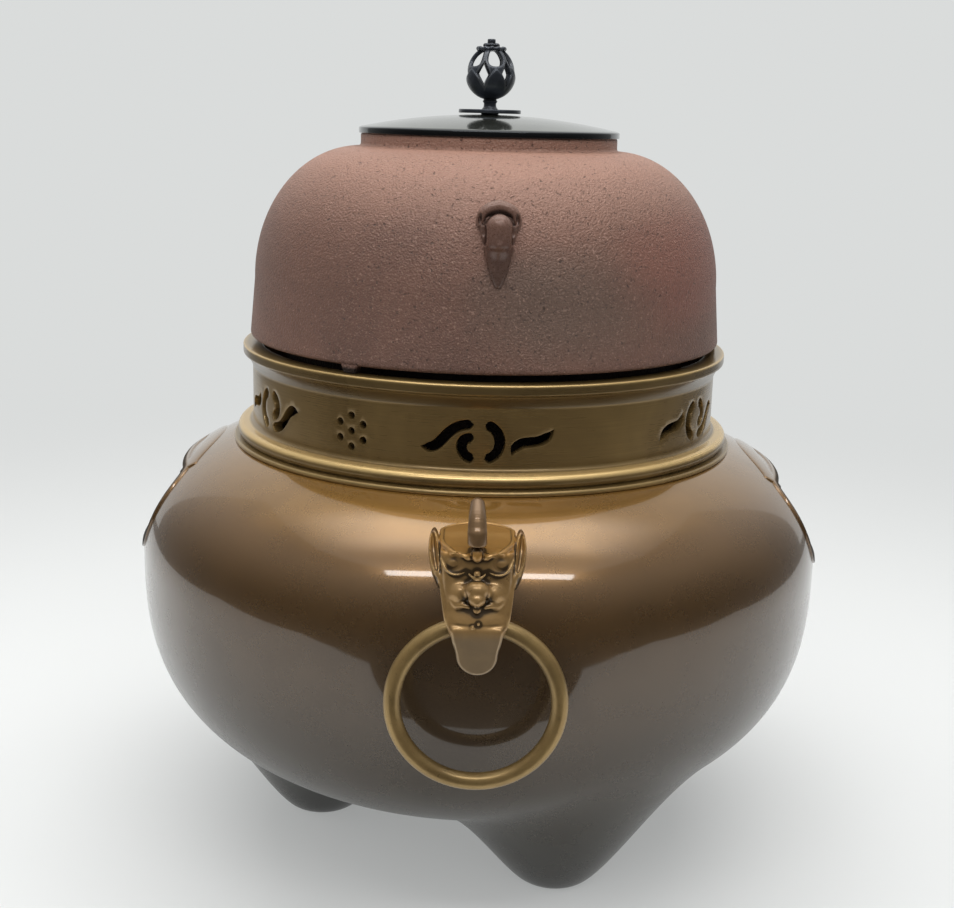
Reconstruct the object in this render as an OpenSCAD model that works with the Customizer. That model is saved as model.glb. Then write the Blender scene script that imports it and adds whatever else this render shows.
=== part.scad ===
// Furo brazier: a bronze charcoal brazier on three swelling legs, with a pierced neck,
// ring masks front and rear, and an iron kettle that stands on the rim by three small feet.
// Millimetres, +Z up, origin on the floor below the axis, first mask towards -Y.

/* [Bowl] */
// Widest radius of the bowl
bowl_r = 169; // [160:1:180]
// Height of the widest place above the floor
belly_z = 146; // [140:1:154]
// Depth of the bowl below its widest place
bowl_drop = 114; // [106:1:118]
// Height of the shoulder curve above the widest place, taken on to the axis
bowl_rise = 73; // [69:1:78]
// Fullness of the curve below the widest place
lower_power = 2.6; // [2.3:0.05:2.9]
// Fullness of the shoulder curve
upper_power = 2.75; // [2.55:0.05:3]
// Wall of the bowl
bowl_wall = 4.5; // [3.5:0.25:5.5]
// Depth of the thick collar under the neck
collar_h = 8; // [6:0.5:11]

/* [Legs] */
// Radius of the circle through the three feet
foot_circle_r = 81; // [74:1:88]
// Angle of the first leg from the front
leg_turn = 30; // [0:5:60]
// Radius of the sole
sole_r = 17; // [14:0.5:20]
// Rounding of the sole's edge
sole_round = 5; // [3:0.5:7]
// Steepness of the leg's flank near the sole, from upright
leg_angle = 42; // [37:1:46]
// Outward curve of the flank
leg_curve = 0.018; // [0.014:0.001:0.022]
// Width over which a leg melts into the bowl
leg_blend = 43; // [36:1:50]
// Thickness of metal over the sole
sole_wall = 10; // [7:0.5:13]

/* [Fire windows] */
// Height of a window
window_h = 37; // [32:1:40]
// Width of a window
window_w = 108; // [98:1:120]
// Height of a window's middle above the widest place of the bowl
window_rise = 28; // [26:0.5:29]
// Width of the raised edge round a window
edge_w = 2.5; // [1.5:0.25:4]
// Height that the edge stands out from the bowl
edge_out = 0.9; // [0.6:0.1:1.5]
// Width of the raised brow above a window
brow_w = 5.5; // [4:0.5:7]
// Height that the brow stands out from the bowl
brow_out = 2.5; // [1.5:0.25:3.5]
// Distance of the brow's middle below the neck
brow_drop = 5.6; // [5:0.2:7]

/* [Neck] */
// Radius of the neck's bore
neck_bore_r = 109.5; // [107:0.5:111]
// Wall of the neck
neck_wall = 5; // [4:0.25:6]
// Height of the neck from its seat to the rim
neck_h = 47.4; // [45:0.2:52]
// Reach of the base moulding beyond the wall
base_out = 9.5; // [8.5:0.25:11]
// Reach of the rim beyond the wall
rim_out = 4.5; // [3.5:0.25:6]
// Height of the rim band
rim_h = 13; // [11:0.5:14]
// Depth of the spigot that enters the bowl
spigot_h = 6; // [4:0.5:9]
// Wall of the spigot
spigot_wall = 3.5; // [2.5:0.25:4.5]
// Thickness of the pierced strokes
stroke_w = 3.5; // [2.6:0.1:4]
// Diameter of a pierced dot
dot_d = 2.9; // [2:0.1:3.6]
// Radius of a ring of six dots
dot_ring_r = 7; // [6:0.25:8]

/* [Masks and rings] */
// Mean radius of a carrying ring
ring_r = 33.5; // [31:0.5:36]
// Thickness of a carrying ring
ring_d = 7; // [6:0.25:7.5]
// Distance of the ring's hinge line outside the widest place of the bowl
hinge_out = 9; // [8.5:0.25:11]
// Height of the ring's hinge line above the widest place of the bowl
hinge_rise = 23; // [21:0.5:25]
// Play round the ring where it turns in the jaw
ring_play = 3.7; // [3.5:0.1:4.2]
// Width of the jaw
jaw_w = 27; // [24:0.5:28]
// Metal round the ring's hole
jaw_wall = 3; // [2.5:0.25:4]
// Width of the crown of the head
crown_w = 31; // [29:0.5:34]
// Height of the crown above the hinge line
crown_rise = 32; // [30:0.5:34]
// Height of the horn above the crown
horn_h = 16; // [13:0.5:19]
// Thickness of the horn
horn_w = 6; // [4:0.2:7]
// Radius of the nose
nose_r = 5.5; // [4.5:0.25:6]
// Length of the tongue below the hinge line
tongue_h = 17.4; // [16:0.2:20]
// Diameter of the stud that holds a mask
stud_d = 8; // [6:0.5:10]
// Height of the stud above the hinge line, where it meets the bowl
stud_rise = 13; // [11:0.5:15]
// Diameter of the flat boss round the stud, inside the bowl
boss_d = 22; // [20:0.5:25]
// Depth of the boss below the outside of the bowl
boss_depth = 8; // [7:0.25:9]
// Thickness of the stud's washer
washer_h = 2; // [1.5:0.25:3]
// Thickness of the stud's nut
nut_h = 6.5; // [5:0.5:8]

/* [Kettle] */
// Turn of the kettle on the rim
kettle_turn = 2.5; // [-10:0.5:10]
// Outer radius of the kettle's mouth
mouth_r = 62; // [58:0.5:66]
// Height of the upright mouth
mouth_h = 6; // [4:0.5:9]
// Radius at the foot of the shoulder
side_r = 113; // [110:0.5:114]
// Height of the shoulder
shoulder_h = 63; // [56:1:70]
// Height of the side between the shoulder and the skirt
side_h = 26.5; // [20:0.5:32]
// Reach of the skirt beyond the side
skirt_out = 2.3; // [1:0.1:3]
// Height of the three feet that stand on the rim
kettle_foot_h = 5; // [3.5:0.25:7]
// Width of a foot
kettle_foot_w = 9; // [7:0.5:12]
// Radius of the lower kettle inside the neck
pot_r = 98; // [93:0.5:100]
// Depth of the lower kettle below the skirt
pot_h = 84; // [72:1:92]
// Rounding of the kettle's bottom
pot_round = 42; // [34:1:50]
// Least draught gap between the lower kettle and the neck
draught_gap = 11; // [9:0.5:14]
// Wall of the kettle
kettle_wall = 4.5; // [3.5:0.25:6]
// Height of a lug's hole above the foot of the shoulder
lug_rise = 31.5; // [28:0.5:35]
// Diameter of a lug's hole
lug_hole_d = 6.4; // [5:0.1:7]
// Width of a lug over its ears
lug_w = 18; // [16:0.5:20]
// Diameter of the peg that roots a lug in the wall
lug_peg_d = 5; // [4:0.25:6]

/* [Lid and knob] */
// Reach of the lid beyond the mouth
lid_out = 1; // [0.5:0.25:3]
// Thickness of the lid's edge
lid_edge = 3; // [2:0.25:4]
// Rise of the lid's dome
lid_dome = 5.5; // [4:0.25:8]
// Wall of the lid
lid_wall = 2.6; // [2:0.2:3.4]
// Depth of the locating ring under the lid
lid_ring_h = 5; // [3:0.5:8]
// Diameter of the disc under the knob
seat_d = 30; // [26:0.5:34]
// Thickness of the disc under the knob
seat_t = 1.8; // [1.4:0.1:2.5]
// Height of the hub below the disc
hub_h = 2; // [1.5:0.25:3.5]
// Greatest radius of the knob's bud
bud_r = 11.85; // [10.5:0.25:13]
// Height of the bud
bud_h = 24; // [21:0.5:27]
// Wall of the bud
bud_wall = 2.2; // [1.8:0.1:2.8]
// Height of the knob's stem
stem_h = 5.5; // [4.5:0.5:7]
// Diameter of the stem
stem_d = 6.4; // [5.8:0.2:7.4]
// Diameter of the tenon that passes through the lid
tenon_d = 5; // [4:0.2:5.4]
// Thickness of the washer under the lid
back_washer_h = 1.2; // [1:0.1:2]

/* [Fits] */
// Play between parts that are seated in one another
seat_gap = 0.2; // [0.1:0.05:0.3]
// Play between the lid's ring and the kettle's mouth
lid_gap = 0.6; // [0.4:0.1:1]

/* [Hidden] */
$fn = 96;

bronze = [0.42, 0.30, 0.16];
pale_bronze = [0.55, 0.44, 0.24];
mask_bronze = [0.50, 0.40, 0.25];
brass = [0.62, 0.48, 0.24];
iron = [0.44, 0.29, 0.26];
lid_bronze = [0.30, 0.30, 0.27];
black = [0.07, 0.07, 0.08];

// Grid of the bowl's skin
skin_turns = 78;
skin_low = 30;
skin_high = 8;

// Radii and heights of the neck, whose bore leaves room for the draught round the lower kettle
bore_r = max(neck_bore_r, pot_r + draught_gap);
neck_r = bore_r + neck_wall;
base_r = neck_r + base_out;
rim_r = neck_r + rim_out;
spigot_r = bore_r + spigot_wall;
neck_seat_z = shoulder_z(base_r);
rim_z = neck_seat_z + neck_h;
bowl_mouth_r = spigot_r + seat_gap;
collar_z = neck_seat_z - collar_h;

// Hinge line of the rings and place of the mask's stud
hinge_r = bowl_r + hinge_out;
hinge_z = belly_z + hinge_rise;
hole_r = ring_d / 2 + ring_play;
stud_z = hinge_z + stud_rise;
stud_r = shoulder_r(stud_z);
stud_tilt = shoulder_tilt(stud_z);
stud_end = boss_depth + washer_h + nut_h + 2;

// Place of the kettle's feet on the rim
foot_in = 1.2;
foot_len = neck_wall - 0.4;

// Heights of the kettle and the lid
skirt_z = rim_z + kettle_foot_h;
side_z = skirt_z + side_h;
kettle_top = side_z + shoulder_h + mouth_h;
skirt_r = max(side_r + skirt_out, bore_r + foot_in + foot_len);
mouth_in_r = mouth_r - kettle_wall;
pot_z = skirt_z - pot_h;
lug_z = side_z + lug_rise;
lug_out = kettle_r(lug_z) + lug_hole_d / 2 + 1.4;
lid_r = mouth_r + lid_out;
lid_top = kettle_top + lid_edge + lid_dome;
seat_top = lid_top + hub_h + seat_t;
bud_z = seat_top + stem_h + bud_h / 2 - 0.8;

// Curve of the bowl above and below its widest place
function shoulder_r(z) = bowl_r * pow(1 - pow((z - belly_z) / bowl_rise, upper_power), 1 / upper_power);
function shoulder_z(r) = belly_z + bowl_rise * pow(1 - pow(r / bowl_r, upper_power), 1 / upper_power);
function hollow_z(r) = belly_z - bowl_drop * pow(max(0, 1 - pow(r / bowl_r, lower_power)), 1 / lower_power);
function cavity_z(r) = belly_z - (bowl_drop - bowl_wall)
    * pow(1 - pow(r / (bowl_r - bowl_wall), lower_power), 1 / lower_power);

// Upward tilt of the shoulder's normal
function shoulder_tilt(z) = atan2(
    pow((z - belly_z) / bowl_rise, upper_power - 1) / bowl_rise,
    pow(shoulder_r(z) / bowl_r, upper_power - 1) / bowl_r);

// Three legs melt into the underside
function melt(a, b) = let (h = max(0, min(1, 0.5 + 0.5 * (a - b) / leg_blend)))
    a * (1 - h) + b * h - leg_blend * h * (1 - h);
function leg_at(k) = foot_circle_r * [sin(leg_turn + 120 * k), -cos(leg_turn + 120 * k)];
function soft(q) = (q + sqrt(q * q + sole_round * sole_round)) / 2;
function flank(q) = q / tan(leg_angle) + leg_curve * q * q - sole_round / 2;
function leg_z(p, k) = flank(soft(norm(p - leg_at(k)) - sole_r));
function under_z(p) = melt(melt(melt(hollow_z(norm(p)), leg_z(p, 0)), leg_z(p, 1)), leg_z(p, 2));

// Radius of the kettle's shoulder at a height
function kettle_r(z) = mouth_r + (side_r - mouth_r) * sqrt(1 - pow((z - side_z) / shoulder_h, 2));

// Points of an arc
function arc(x, y, r, from, to, n = 6) =
    [for (i = [0 : n]) let (a = from + (to - from) * i / n) [x + r * cos(a), y + r * sin(a)]];

// Curve above and below the widest place, as points on a profile
function shoulder_points(r, rise, top, n) = [for (i = [0 : n]) let (a = top * i / n)
    [r * pow(cos(a), 2 / upper_power), belly_z + rise * pow(sin(a), 2 / upper_power)]];
function hollow_points(r, drop, n) = [for (i = [0 : n - 1]) let (a = 90 * i / n)
    [r * pow(sin(a), 2 / lower_power), belly_z - drop * pow(cos(a), 2 / lower_power)]];

// Rod with round ends between two points
module rod(a, b, r) {
    d = b - a;
    translate(a) sphere(r);
    translate(b) sphere(r);
    translate(a)
        rotate([0, acos(d[2] / norm(d)), atan2(d[1], d[0])])
            cylinder(h = norm(d), r = r);
}

// Outside of the bowl with its legs, flat on top where the neck is seated
module bowl_skin() {
    top = acos(pow(base_r / bowl_r, upper_power / 2));
    low = [for (i = [1 : skin_low]) for (k = [0 : skin_turns - 1])
        let (r = bowl_r * sin(90 * i / skin_low), a = 360 * k / skin_turns, p = r * [cos(a), sin(a)])
            [p[0], p[1], under_z(p)]];
    high = [for (i = [1 : skin_high]) for (k = [0 : skin_turns - 1])
        let (t = top * i / skin_high, a = 360 * k / skin_turns, r = bowl_r * pow(cos(t), 2 / upper_power))
            [r * cos(a), r * sin(a), belly_z + bowl_rise * pow(sin(t), 2 / upper_power)]];
    rings = skin_low + skin_high;
    foot = rings * skin_turns;
    head = foot + 1;
    points = concat(low, high, [[0, 0, under_z([0, 0])], [0, 0, neck_seat_z]]);
    sides = [for (i = [0 : rings - 2]) for (k = [0 : skin_turns - 1])
        let (n = (k + 1) % skin_turns, a = i * skin_turns, b = a + skin_turns)
            each [[a + k, b + k, b + n], [a + k, b + n, a + n]]];
    ends = [for (k = [0 : skin_turns - 1])
        let (n = (k + 1) % skin_turns, b = (rings - 1) * skin_turns)
            each [[foot, k, n], [head, b + n, b + k]]];
    polyhedron(points, concat(sides, ends));
}

// Exact round shoulder, for cutting what sits on the bowl
module bowl_round(grow) {
    rotate_extrude()
        polygon(concat([[0, belly_z - 40], [bowl_r + grow, belly_z - 40]],
            shoulder_points(bowl_r + grow, bowl_rise + grow, 89, 24), [[0, belly_z + bowl_rise + grow]]));
}

// Frame on the stud's axis: Z runs from the outside of the bowl inwards
module at_stud(turn) {
    rotate([0, 0, turn])
        translate([0, -stud_r, stud_z])
            rotate([-90 - stud_tilt, 0, 0])
                children();
}

// Cavity inside the bowl, less the bosses round the studs
module bowl_cavity() {
    in_r = bowl_r - bowl_wall;
    in_rise = bowl_rise - bowl_wall;
    top = asin(pow((collar_z - belly_z) / in_rise, upper_power / 2));
    difference() {
        rotate_extrude()
            polygon(concat(hollow_points(in_r, bowl_drop - bowl_wall, 14),
                shoulder_points(in_r, in_rise, top, 10), [[0, collar_z]]));
        for (turn = [0, 180])
            at_stud(turn) cylinder(h = 2 * boss_depth, d = boss_d, center = true);
    }
    translate([0, 0, collar_z - 1]) cylinder(h = collar_h + 2, r = bowl_mouth_r);
}

// Hollow inside a leg
module leg_core(k) {
    low_r = sole_r - 2;
    top_r = low_r + 22;
    top_z = cavity_z(foot_circle_r + top_r) + 2;
    translate([leg_at(k)[0], leg_at(k)[1], sole_wall])
        cylinder(h = top_z - sole_wall, r1 = low_r, r2 = top_r);
}

// Window outline with round ends
module window_outline(grow) {
    r = window_h / 2 + grow;
    half = window_w / 2 - window_h / 2;
    square([2 * half, 2 * r], center = true);
    for (side = [-1, 1])
        translate([side * half, 0]) circle(r);
}

// Outline pushed through the side of the bowl
module through_side(side) {
    translate([side * bowl_r * 0.6, 0, belly_z + window_rise])
        rotate([90, 0, side * 90])
            linear_extrude(bowl_r * 0.5)
                children();
}

// Arched brow with a round end at each side
module brow_outline() {
    reach = window_w / 2 - 3;
    end_z = window_h / 2 + 1.5;
    end_r = 0.62 * brow_w;
    rise = neck_seat_z - brow_drop - belly_z - window_rise - end_z;
    r = (reach * reach + rise * rise) / (2 * rise);
    intersection() {
        translate([0, end_z + rise - r])
            difference() {
                circle(r + brow_w / 2);
                circle(r - brow_w / 2);
            }
        translate([-reach, 0]) square([2 * reach, window_h]);
    }
    for (side = [-1, 1])
        translate([side * reach, end_z]) circle(end_r);
}

// Outline raised over the shoulder of the bowl, with its root in the wall
module raised(side, out, root) {
    intersection() {
        difference() {
            bowl_round(out);
            bowl_round(-root);
        }
        through_side(side) children();
    }
}

module bowl() {
    color(bronze)
        difference() {
            union() {
                difference() {
                    bowl_skin();
                    translate([-bowl_r, -bowl_r, -20]) cube([2 * bowl_r, 2 * bowl_r, 20]);
                }
                for (side = [-1, 1]) {
                    raised(side, edge_out, 2) window_outline(edge_w);
                    raised(side, brow_out, 1.5) brow_outline();
                }
            }
            bowl_cavity();
            for (k = [0 : 2]) leg_core(k);
            for (side = [-1, 1]) through_side(side) window_outline(0);
            for (turn = [0, 180])
                at_stud(turn)
                    cylinder(h = 4 * boss_depth, d = stud_d + 2 * seat_gap, center = true);
        }
}

// Pierced stroke along a cubic curve, with each end drawn in over a share of its length
function bez(p, t) = pow(1 - t, 3) * p[0] + 3 * t * pow(1 - t, 2) * p[1]
    + 3 * t * t * (1 - t) * p[2] + pow(t, 3) * p[3];
function draw_in(t, share) = t < share ? sin(90 * t / share) : 1;
module stroke(p, from, to, n = 14) {
    rail = [for (i = [0 : n]) let (t = i / n, d = bez(p, t + 0.01) - bez(p, t - 0.01),
        w = stroke_w / 2 * draw_in(t, from) * draw_in(1 - t, to))
            [bez(p, t), w * [-d[1], d[0]] / norm(d)]];
    polygon(concat([for (i = [0 : n]) rail[i][0] + rail[i][1]],
        [for (i = [n - 1 : -1 : 1]) rail[i][0] - rail[i][1]]));
}

// Swirl of four strokes: long wave, hook, half ring and small wave
module swirl() {
    stroke([[-26.5, -3], [-16, -6], [-18, 8], [-3.6, 7.4]], 0.45, 0.12);
    stroke([[-3.6, 1.2], [-10.5, 3.4], [-10.5, -7.4], [-3.4, -7.5]], 0.14, 0.14);
    stroke([[1.3, 7.5], [9.8, 6], [9.8, -6.5], [1.2, -7.7]], 0.12, 0.12);
    stroke([[13, -5.8], [15.5, 4.6], [25, -4.6], [30.8, 5.4]], 0.5, 0.5);
}

// Shape pushed outwards through the neck's wall
module through_neck(turn) {
    rotate([0, 0, turn])
        translate([0, -bore_r + 15, neck_seat_z + (neck_h - rim_h + base_out) / 2])
            rotate([90, 0, 0])
                linear_extrude(neck_wall + 20)
                    children();
}

module neck() {
    bead = 1.2;
    band = 3.2;
    step_z = 2 * bead + 2 * band + 0.6;
    edge = 2.2;
    color(pale_bronze)
        difference() {
            translate([0, 0, neck_seat_z])
                rotate_extrude()
                    polygon(concat(
                        [[bore_r, -spigot_h], [spigot_r, -spigot_h], [spigot_r, 0]],
                        arc(base_r - bead, bead, bead, -90, 90),
                        arc(base_r - band - 2, 2 * bead + band, band, -60, 120),
                        [[neck_r + 1.6, step_z], [neck_r, step_z]],
                        [[neck_r, neck_h - rim_h - 1.5], [neck_r + 1.5, neck_h - rim_h]],
                        arc(rim_r - edge, neck_h - rim_h + edge, edge, -90, 0),
                        arc(rim_r - edge, neck_h - edge, edge, 0, 90),
                        [[bore_r + 1, neck_h], [bore_r, neck_h - 1]]));
            for (k = [0 : 5])
                through_neck(60 * k) rotate(180 * (k % 2)) swirl();
            for (k = [0 : 2])
                through_neck(120 * k - 30) {
                    circle(d = dot_d);
                    for (a = [0 : 60 : 300])
                        rotate(a) translate([0, dot_ring_r]) circle(d = dot_d);
                }
        }
}

// Tongue that hangs from the jaw
module tongue_outline() {
    tip = 9;
    polygon([[-jaw_w / 2 + 1, 2], [jaw_w / 2 - 1, 2], [tip, tip - tongue_h], [-tip, tip - tongue_h]]);
    translate([0, tip - tongue_h]) circle(tip);
}

// Horn that curls back over the crown
module horn_outline() {
    mid = [horn_h - 4, 0];
    difference() {
        translate(mid) circle(horn_h);
        translate(mid) circle(horn_h - 6);
        translate([horn_h, -2 * horn_h]) square(4 * horn_h);
        translate([-horn_h, -4 * horn_h - 3]) square(4 * horn_h);
    }
    translate([horn_h, horn_h - 3]) circle(3);
}

// Animal mask: its origin is the middle of the ring's hinge line, its face looks to -Y
module mask_head() {
    jaw_r = hole_r + jaw_wall;
    crown_y = -5;
    brow_r = 2.2;
    eye_r = 3.4;
    ear_r = 2.4;
    // Head between crown and jaw, reaching back to the shoulder of the bowl
    hull() {
        for (side = [-1, 1])
            translate([side * (crown_w / 2 - 6), crown_y + 6, crown_rise - 6]) cylinder(h = 6, r = 6, $fn = 32);
        translate([-crown_w / 2, hinge_out + 30, crown_rise - 6]) cube([crown_w, 20, 6]);
        rotate([0, 90, 0]) cylinder(h = jaw_w, r = jaw_r, center = true, $fn = 48);
        translate([-jaw_w / 2, hinge_out, -jaw_r]) cube([jaw_w, 8, 2 * jaw_r]);
    }
    // Nose, nostrils and the bump between the eyes
    translate([0, -jaw_r - 1.5, crown_rise / 2]) sphere(nose_r);
    for (side = [-1, 1])
        translate([side * (nose_r + 2.2), -jaw_r + 2.5, crown_rise / 2 - 3]) sphere(nose_r - 1);
    translate([0, crown_y - 2.2, crown_rise - 6.5]) sphere(2.6);
    // Brows, eyes and ears
    for (side = [-1, 1]) {
        rod([side * 3.5, crown_y - 2.6, crown_rise - 2.2], [side * (crown_w / 2 - 2), crown_y + 1, crown_rise - 1.5], brow_r);
        translate([side * 9, crown_y + 0.4, crown_rise - 6.5]) sphere(eye_r);
        rod([side * (crown_w / 2 + 1.4), crown_y + 9, crown_rise - 3],
            [side * (crown_w / 2 - 0.6), crown_y + 10, crown_rise / 2], ear_r);
    }
    // Upper lip
    rod([-jaw_w / 2 + 3, -jaw_r + 0.6, 3], [jaw_w / 2 - 3, -jaw_r + 0.6, 3], brow_r);
    // Tongue
    translate([0, -jaw_r + 7, 0])
        rotate([90, 0, 0]) linear_extrude(8.2) tongue_outline();
    // Horn
    translate([-horn_w / 2, crown_y, crown_rise])
        rotate([90, 0, 90]) linear_extrude(horn_w) horn_outline();
}

module mask(turn) {
    color(mask_bronze) {
        rotate([0, 0, turn])
            difference() {
                translate([0, -hinge_r, hinge_z]) mask_head();
                bowl_round(seat_gap);
                translate([0, -hinge_r, hinge_z])
                    rotate([0, 90, 0]) cylinder(h = 2 * crown_w, r = hole_r, center = true);
            }
        at_stud(turn) translate([0, 0, -3]) cylinder(h = stud_end + 3, d = stud_d);
    }
}

module mask_front() mask(0);
module mask_rear() mask(180);

module mask_washers() {
    color(brass)
        for (turn = [0, 180])
            at_stud(turn)
                translate([0, 0, boss_depth])
                    difference() {
                        cylinder(h = washer_h, d = boss_d - 3);
                        translate([0, 0, -1]) cylinder(h = washer_h + 2, d = stud_d + 2 * seat_gap);
                    }
}

module mask_nuts() {
    color(brass)
        for (turn = [0, 180])
            at_stud(turn)
                translate([0, 0, boss_depth + washer_h])
                    difference() {
                        cylinder(h = nut_h, d = stud_d * 1.9, $fn = 6);
                        translate([0, 0, -1]) cylinder(h = nut_h + 2, d = stud_d + seat_gap);
                    }
}

// Carrying ring, hanging upright from its hinge line
module ring(turn) {
    color(brass)
        rotate([0, 0, turn])
            translate([0, -hinge_r, hinge_z - ring_r])
                rotate([90, 0, 0])
                    rotate_extrude()
                        translate([ring_r, 0]) circle(d = ring_d);
}

module ring_front() ring(0);
module ring_rear() ring(180);

// Outline of the kettle's section, from the mouth down the outside and back up the inside
function kettle_points() = concat(
    [[mouth_in_r, kettle_top], [mouth_r, kettle_top]],
    [for (i = [0 : 15]) let (a = 90 * i / 15)
        [mouth_r + (side_r - mouth_r) * sin(a), side_z + shoulder_h * cos(a)]],
    arc(skirt_r - 2, skirt_z + 2, 2, 0, -90, 4),
    [[pot_r, skirt_z]],
    arc(pot_r - pot_round, pot_z + pot_round, pot_round, 0, -90, 10),
    [[0, pot_z], [0, pot_z + kettle_wall]],
    arc(pot_r - pot_round, pot_z + pot_round, pot_round - kettle_wall, -90, 0, 10),
    [[pot_r - kettle_wall, skirt_z + kettle_wall], [side_r - kettle_wall, skirt_z + kettle_wall]],
    [for (i = [15 : -1 : 0]) let (a = 90 * i / 15)
        [mouth_in_r + (side_r - kettle_wall - mouth_in_r) * sin(a), side_z + (shoulder_h - kettle_wall) * cos(a)]]);

// Frame at the middle of a lug's hole, face towards -Y
module at_lug(turn) {
    rotate([0, 0, kettle_turn + turn])
        translate([0, -lug_out, lug_z])
            children();
}

// Peg that roots a lug in the kettle's wall, below the hole
module lug_peg(grow) {
    translate([0, -4, -lug_hole_d - 2])
        rotate([-90, 0, 0]) cylinder(h = lug_out - kettle_r(lug_z) + 7 + grow, d = lug_peg_d + 2 * grow);
}

module kettle() {
    color(iron) {
        difference() {
            rotate_extrude() polygon(kettle_points());
            for (turn = [0, 180]) at_lug(turn) lug_peg(seat_gap);
        }
        // Small feet, wider at the top, that hold the skirt above the rim
        for (k = [0 : 2])
            rotate([0, 0, kettle_turn + 120 * k - 33])
                translate([0, -bore_r - foot_in, rim_z])
                    rotate([90, 0, 0])
                        linear_extrude(foot_len)
                            polygon([[-kettle_foot_w / 2 + 1.5, 0], [kettle_foot_w / 2 - 1.5, 0],
                                [kettle_foot_w / 2, kettle_foot_h + 1], [-kettle_foot_w / 2, kettle_foot_h + 1]]);
    }
}

// Outside of the kettle's shoulder, for cutting what sits on it
module kettle_round(grow) {
    rotate_extrude()
        polygon(concat([[0, side_z - 6], [side_r + grow, side_z - 6]],
            [for (i = [15 : -1 : 0]) let (a = 90 * i / 15)
                [mouth_r + (side_r + grow - mouth_r) * sin(a), side_z + (shoulder_h + grow) * cos(a)]],
            [[0, side_z + shoulder_h + grow]]));
}

// Animal-head lug: arched brow with ears, round snout in front of the hole, tapering tongue
module kettle_lug(turn) {
    brow_d = 5;
    ear_d = 6.4;
    arch_r = (lug_w - ear_d) / 2 + 2;
    arch_end = 20;
    arch_z = 5;
    snout_r = 5.4;
    snout_h = 14;
    snout_tilt = 18;
    tongue_z = -6;
    tongue_len = 17;
    color(iron) {
        difference() {
            at_lug(turn) {
                translate([0, kettle_lean(arch_z) - 0.8, arch_z])
                    rotate([-35, 0, 0])
                        translate([0, 0, -arch_r * sin(arch_end)])
                            rotate([90, 0, 0]) {
                                rotate(arch_end)
                                    rotate_extrude(angle = 180 - 2 * arch_end)
                                        translate([arch_r, 0]) circle(d = brow_d);
                                for (side = [-1, 1])
                                    translate([side * arch_r * cos(arch_end), arch_r * sin(arch_end), 0])
                                        sphere(d = ear_d);
                            }
                translate([0, -5.5, -7])
                    rotate([-snout_tilt, 0, 0])
                        rotate_extrude()
                            polygon(concat([[0, 0], [snout_r - 1.2, 0], [snout_r, 1.2]],
                                arc(0, snout_h - snout_r, snout_r, 0, 90, 8)));
                translate([0, -2, 7]) rotate([-90, 0, 0]) cylinder(h = 12, r = 4.4);
                translate([0, kettle_lean(tongue_z) + 0.6, tongue_z])
                    rotate([180 - atan2(kettle_lean(tongue_z - tongue_len) - kettle_lean(tongue_z), tongue_len), 0, 0])
                        cylinder(h = tongue_len, r1 = 6, r2 = 1.2);
            }
            at_lug(turn)
                rotate([0, 90, 0]) cylinder(h = 2 * lug_w, d = lug_hole_d, center = true);
            kettle_round(0.1);
        }
        at_lug(turn) lug_peg(0);
    }
}

// Lean of the kettle's surface, seen from the middle of a lug's hole
function kettle_lean(dz) = lug_out - kettle_r(lug_z + dz);

module kettle_lug_front() kettle_lug(0);
module kettle_lug_rear() kettle_lug(180);

// Thin iron plates on the kettle's floor that make it sing
module sound_plates() {
    plate_l = pot_r * 0.18;
    plate_w = plate_l * 0.4;
    color(iron)
        for (a = [0 : 120 : 240])
            rotate([0, 0, a])
                translate([plate_l, -plate_w / 2, pot_z + kettle_wall])
                    cube([plate_l, plate_w, kettle_wall * 0.36]);
}

// Top of the lid's dome at a radius
function lid_z(r) = lid_top - lid_dome * pow(r / lid_r, 2);

module lid() {
    ring_out_r = mouth_in_r - lid_gap;
    ring_in_r = ring_out_r - lid_wall;
    hole = tenon_d / 2 + seat_gap;
    n = 10;
    color(lid_bronze)
        rotate_extrude()
            polygon(concat(
                [[lid_r, kettle_top], [lid_r, kettle_top + lid_edge]],
                [for (i = [n - 1 : -1 : 1]) let (r = hole + (lid_r - hole) * i / n) [r, lid_z(r)]],
                [[hole, lid_top], [hole, lid_top - lid_wall], [hole + 5, lid_top - lid_wall]],
                [for (i = [2 : n]) let (r = hole + (ring_in_r - hole) * i / n) [r, lid_z(r) - lid_wall]],
                [[ring_in_r, kettle_top - lid_ring_h], [ring_out_r, kettle_top - lid_ring_h],
                    [ring_out_r, kettle_top]]));
}

// Disc between the knob and the lid, raised on a small hub
module knob_seat() {
    hole = tenon_d / 2 + seat_gap;
    hub_r = stem_d / 2 + 1.4;
    color(black)
        translate([0, 0, lid_top])
            rotate_extrude()
                polygon([[hole, 0], [hub_r, 0], [hub_r - 0.6, hub_h], [seat_d / 2, hub_h],
                    [seat_d / 2, hub_h + seat_t], [hole, hub_h + seat_t]]);
}

// Outline pushed outwards through the bud's wall
module through_bud(rise) {
    translate([0, -bud_r * 0.45, bud_z + rise])
        rotate([90, 0, 0])
            linear_extrude(bud_r)
                children();
}

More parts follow.
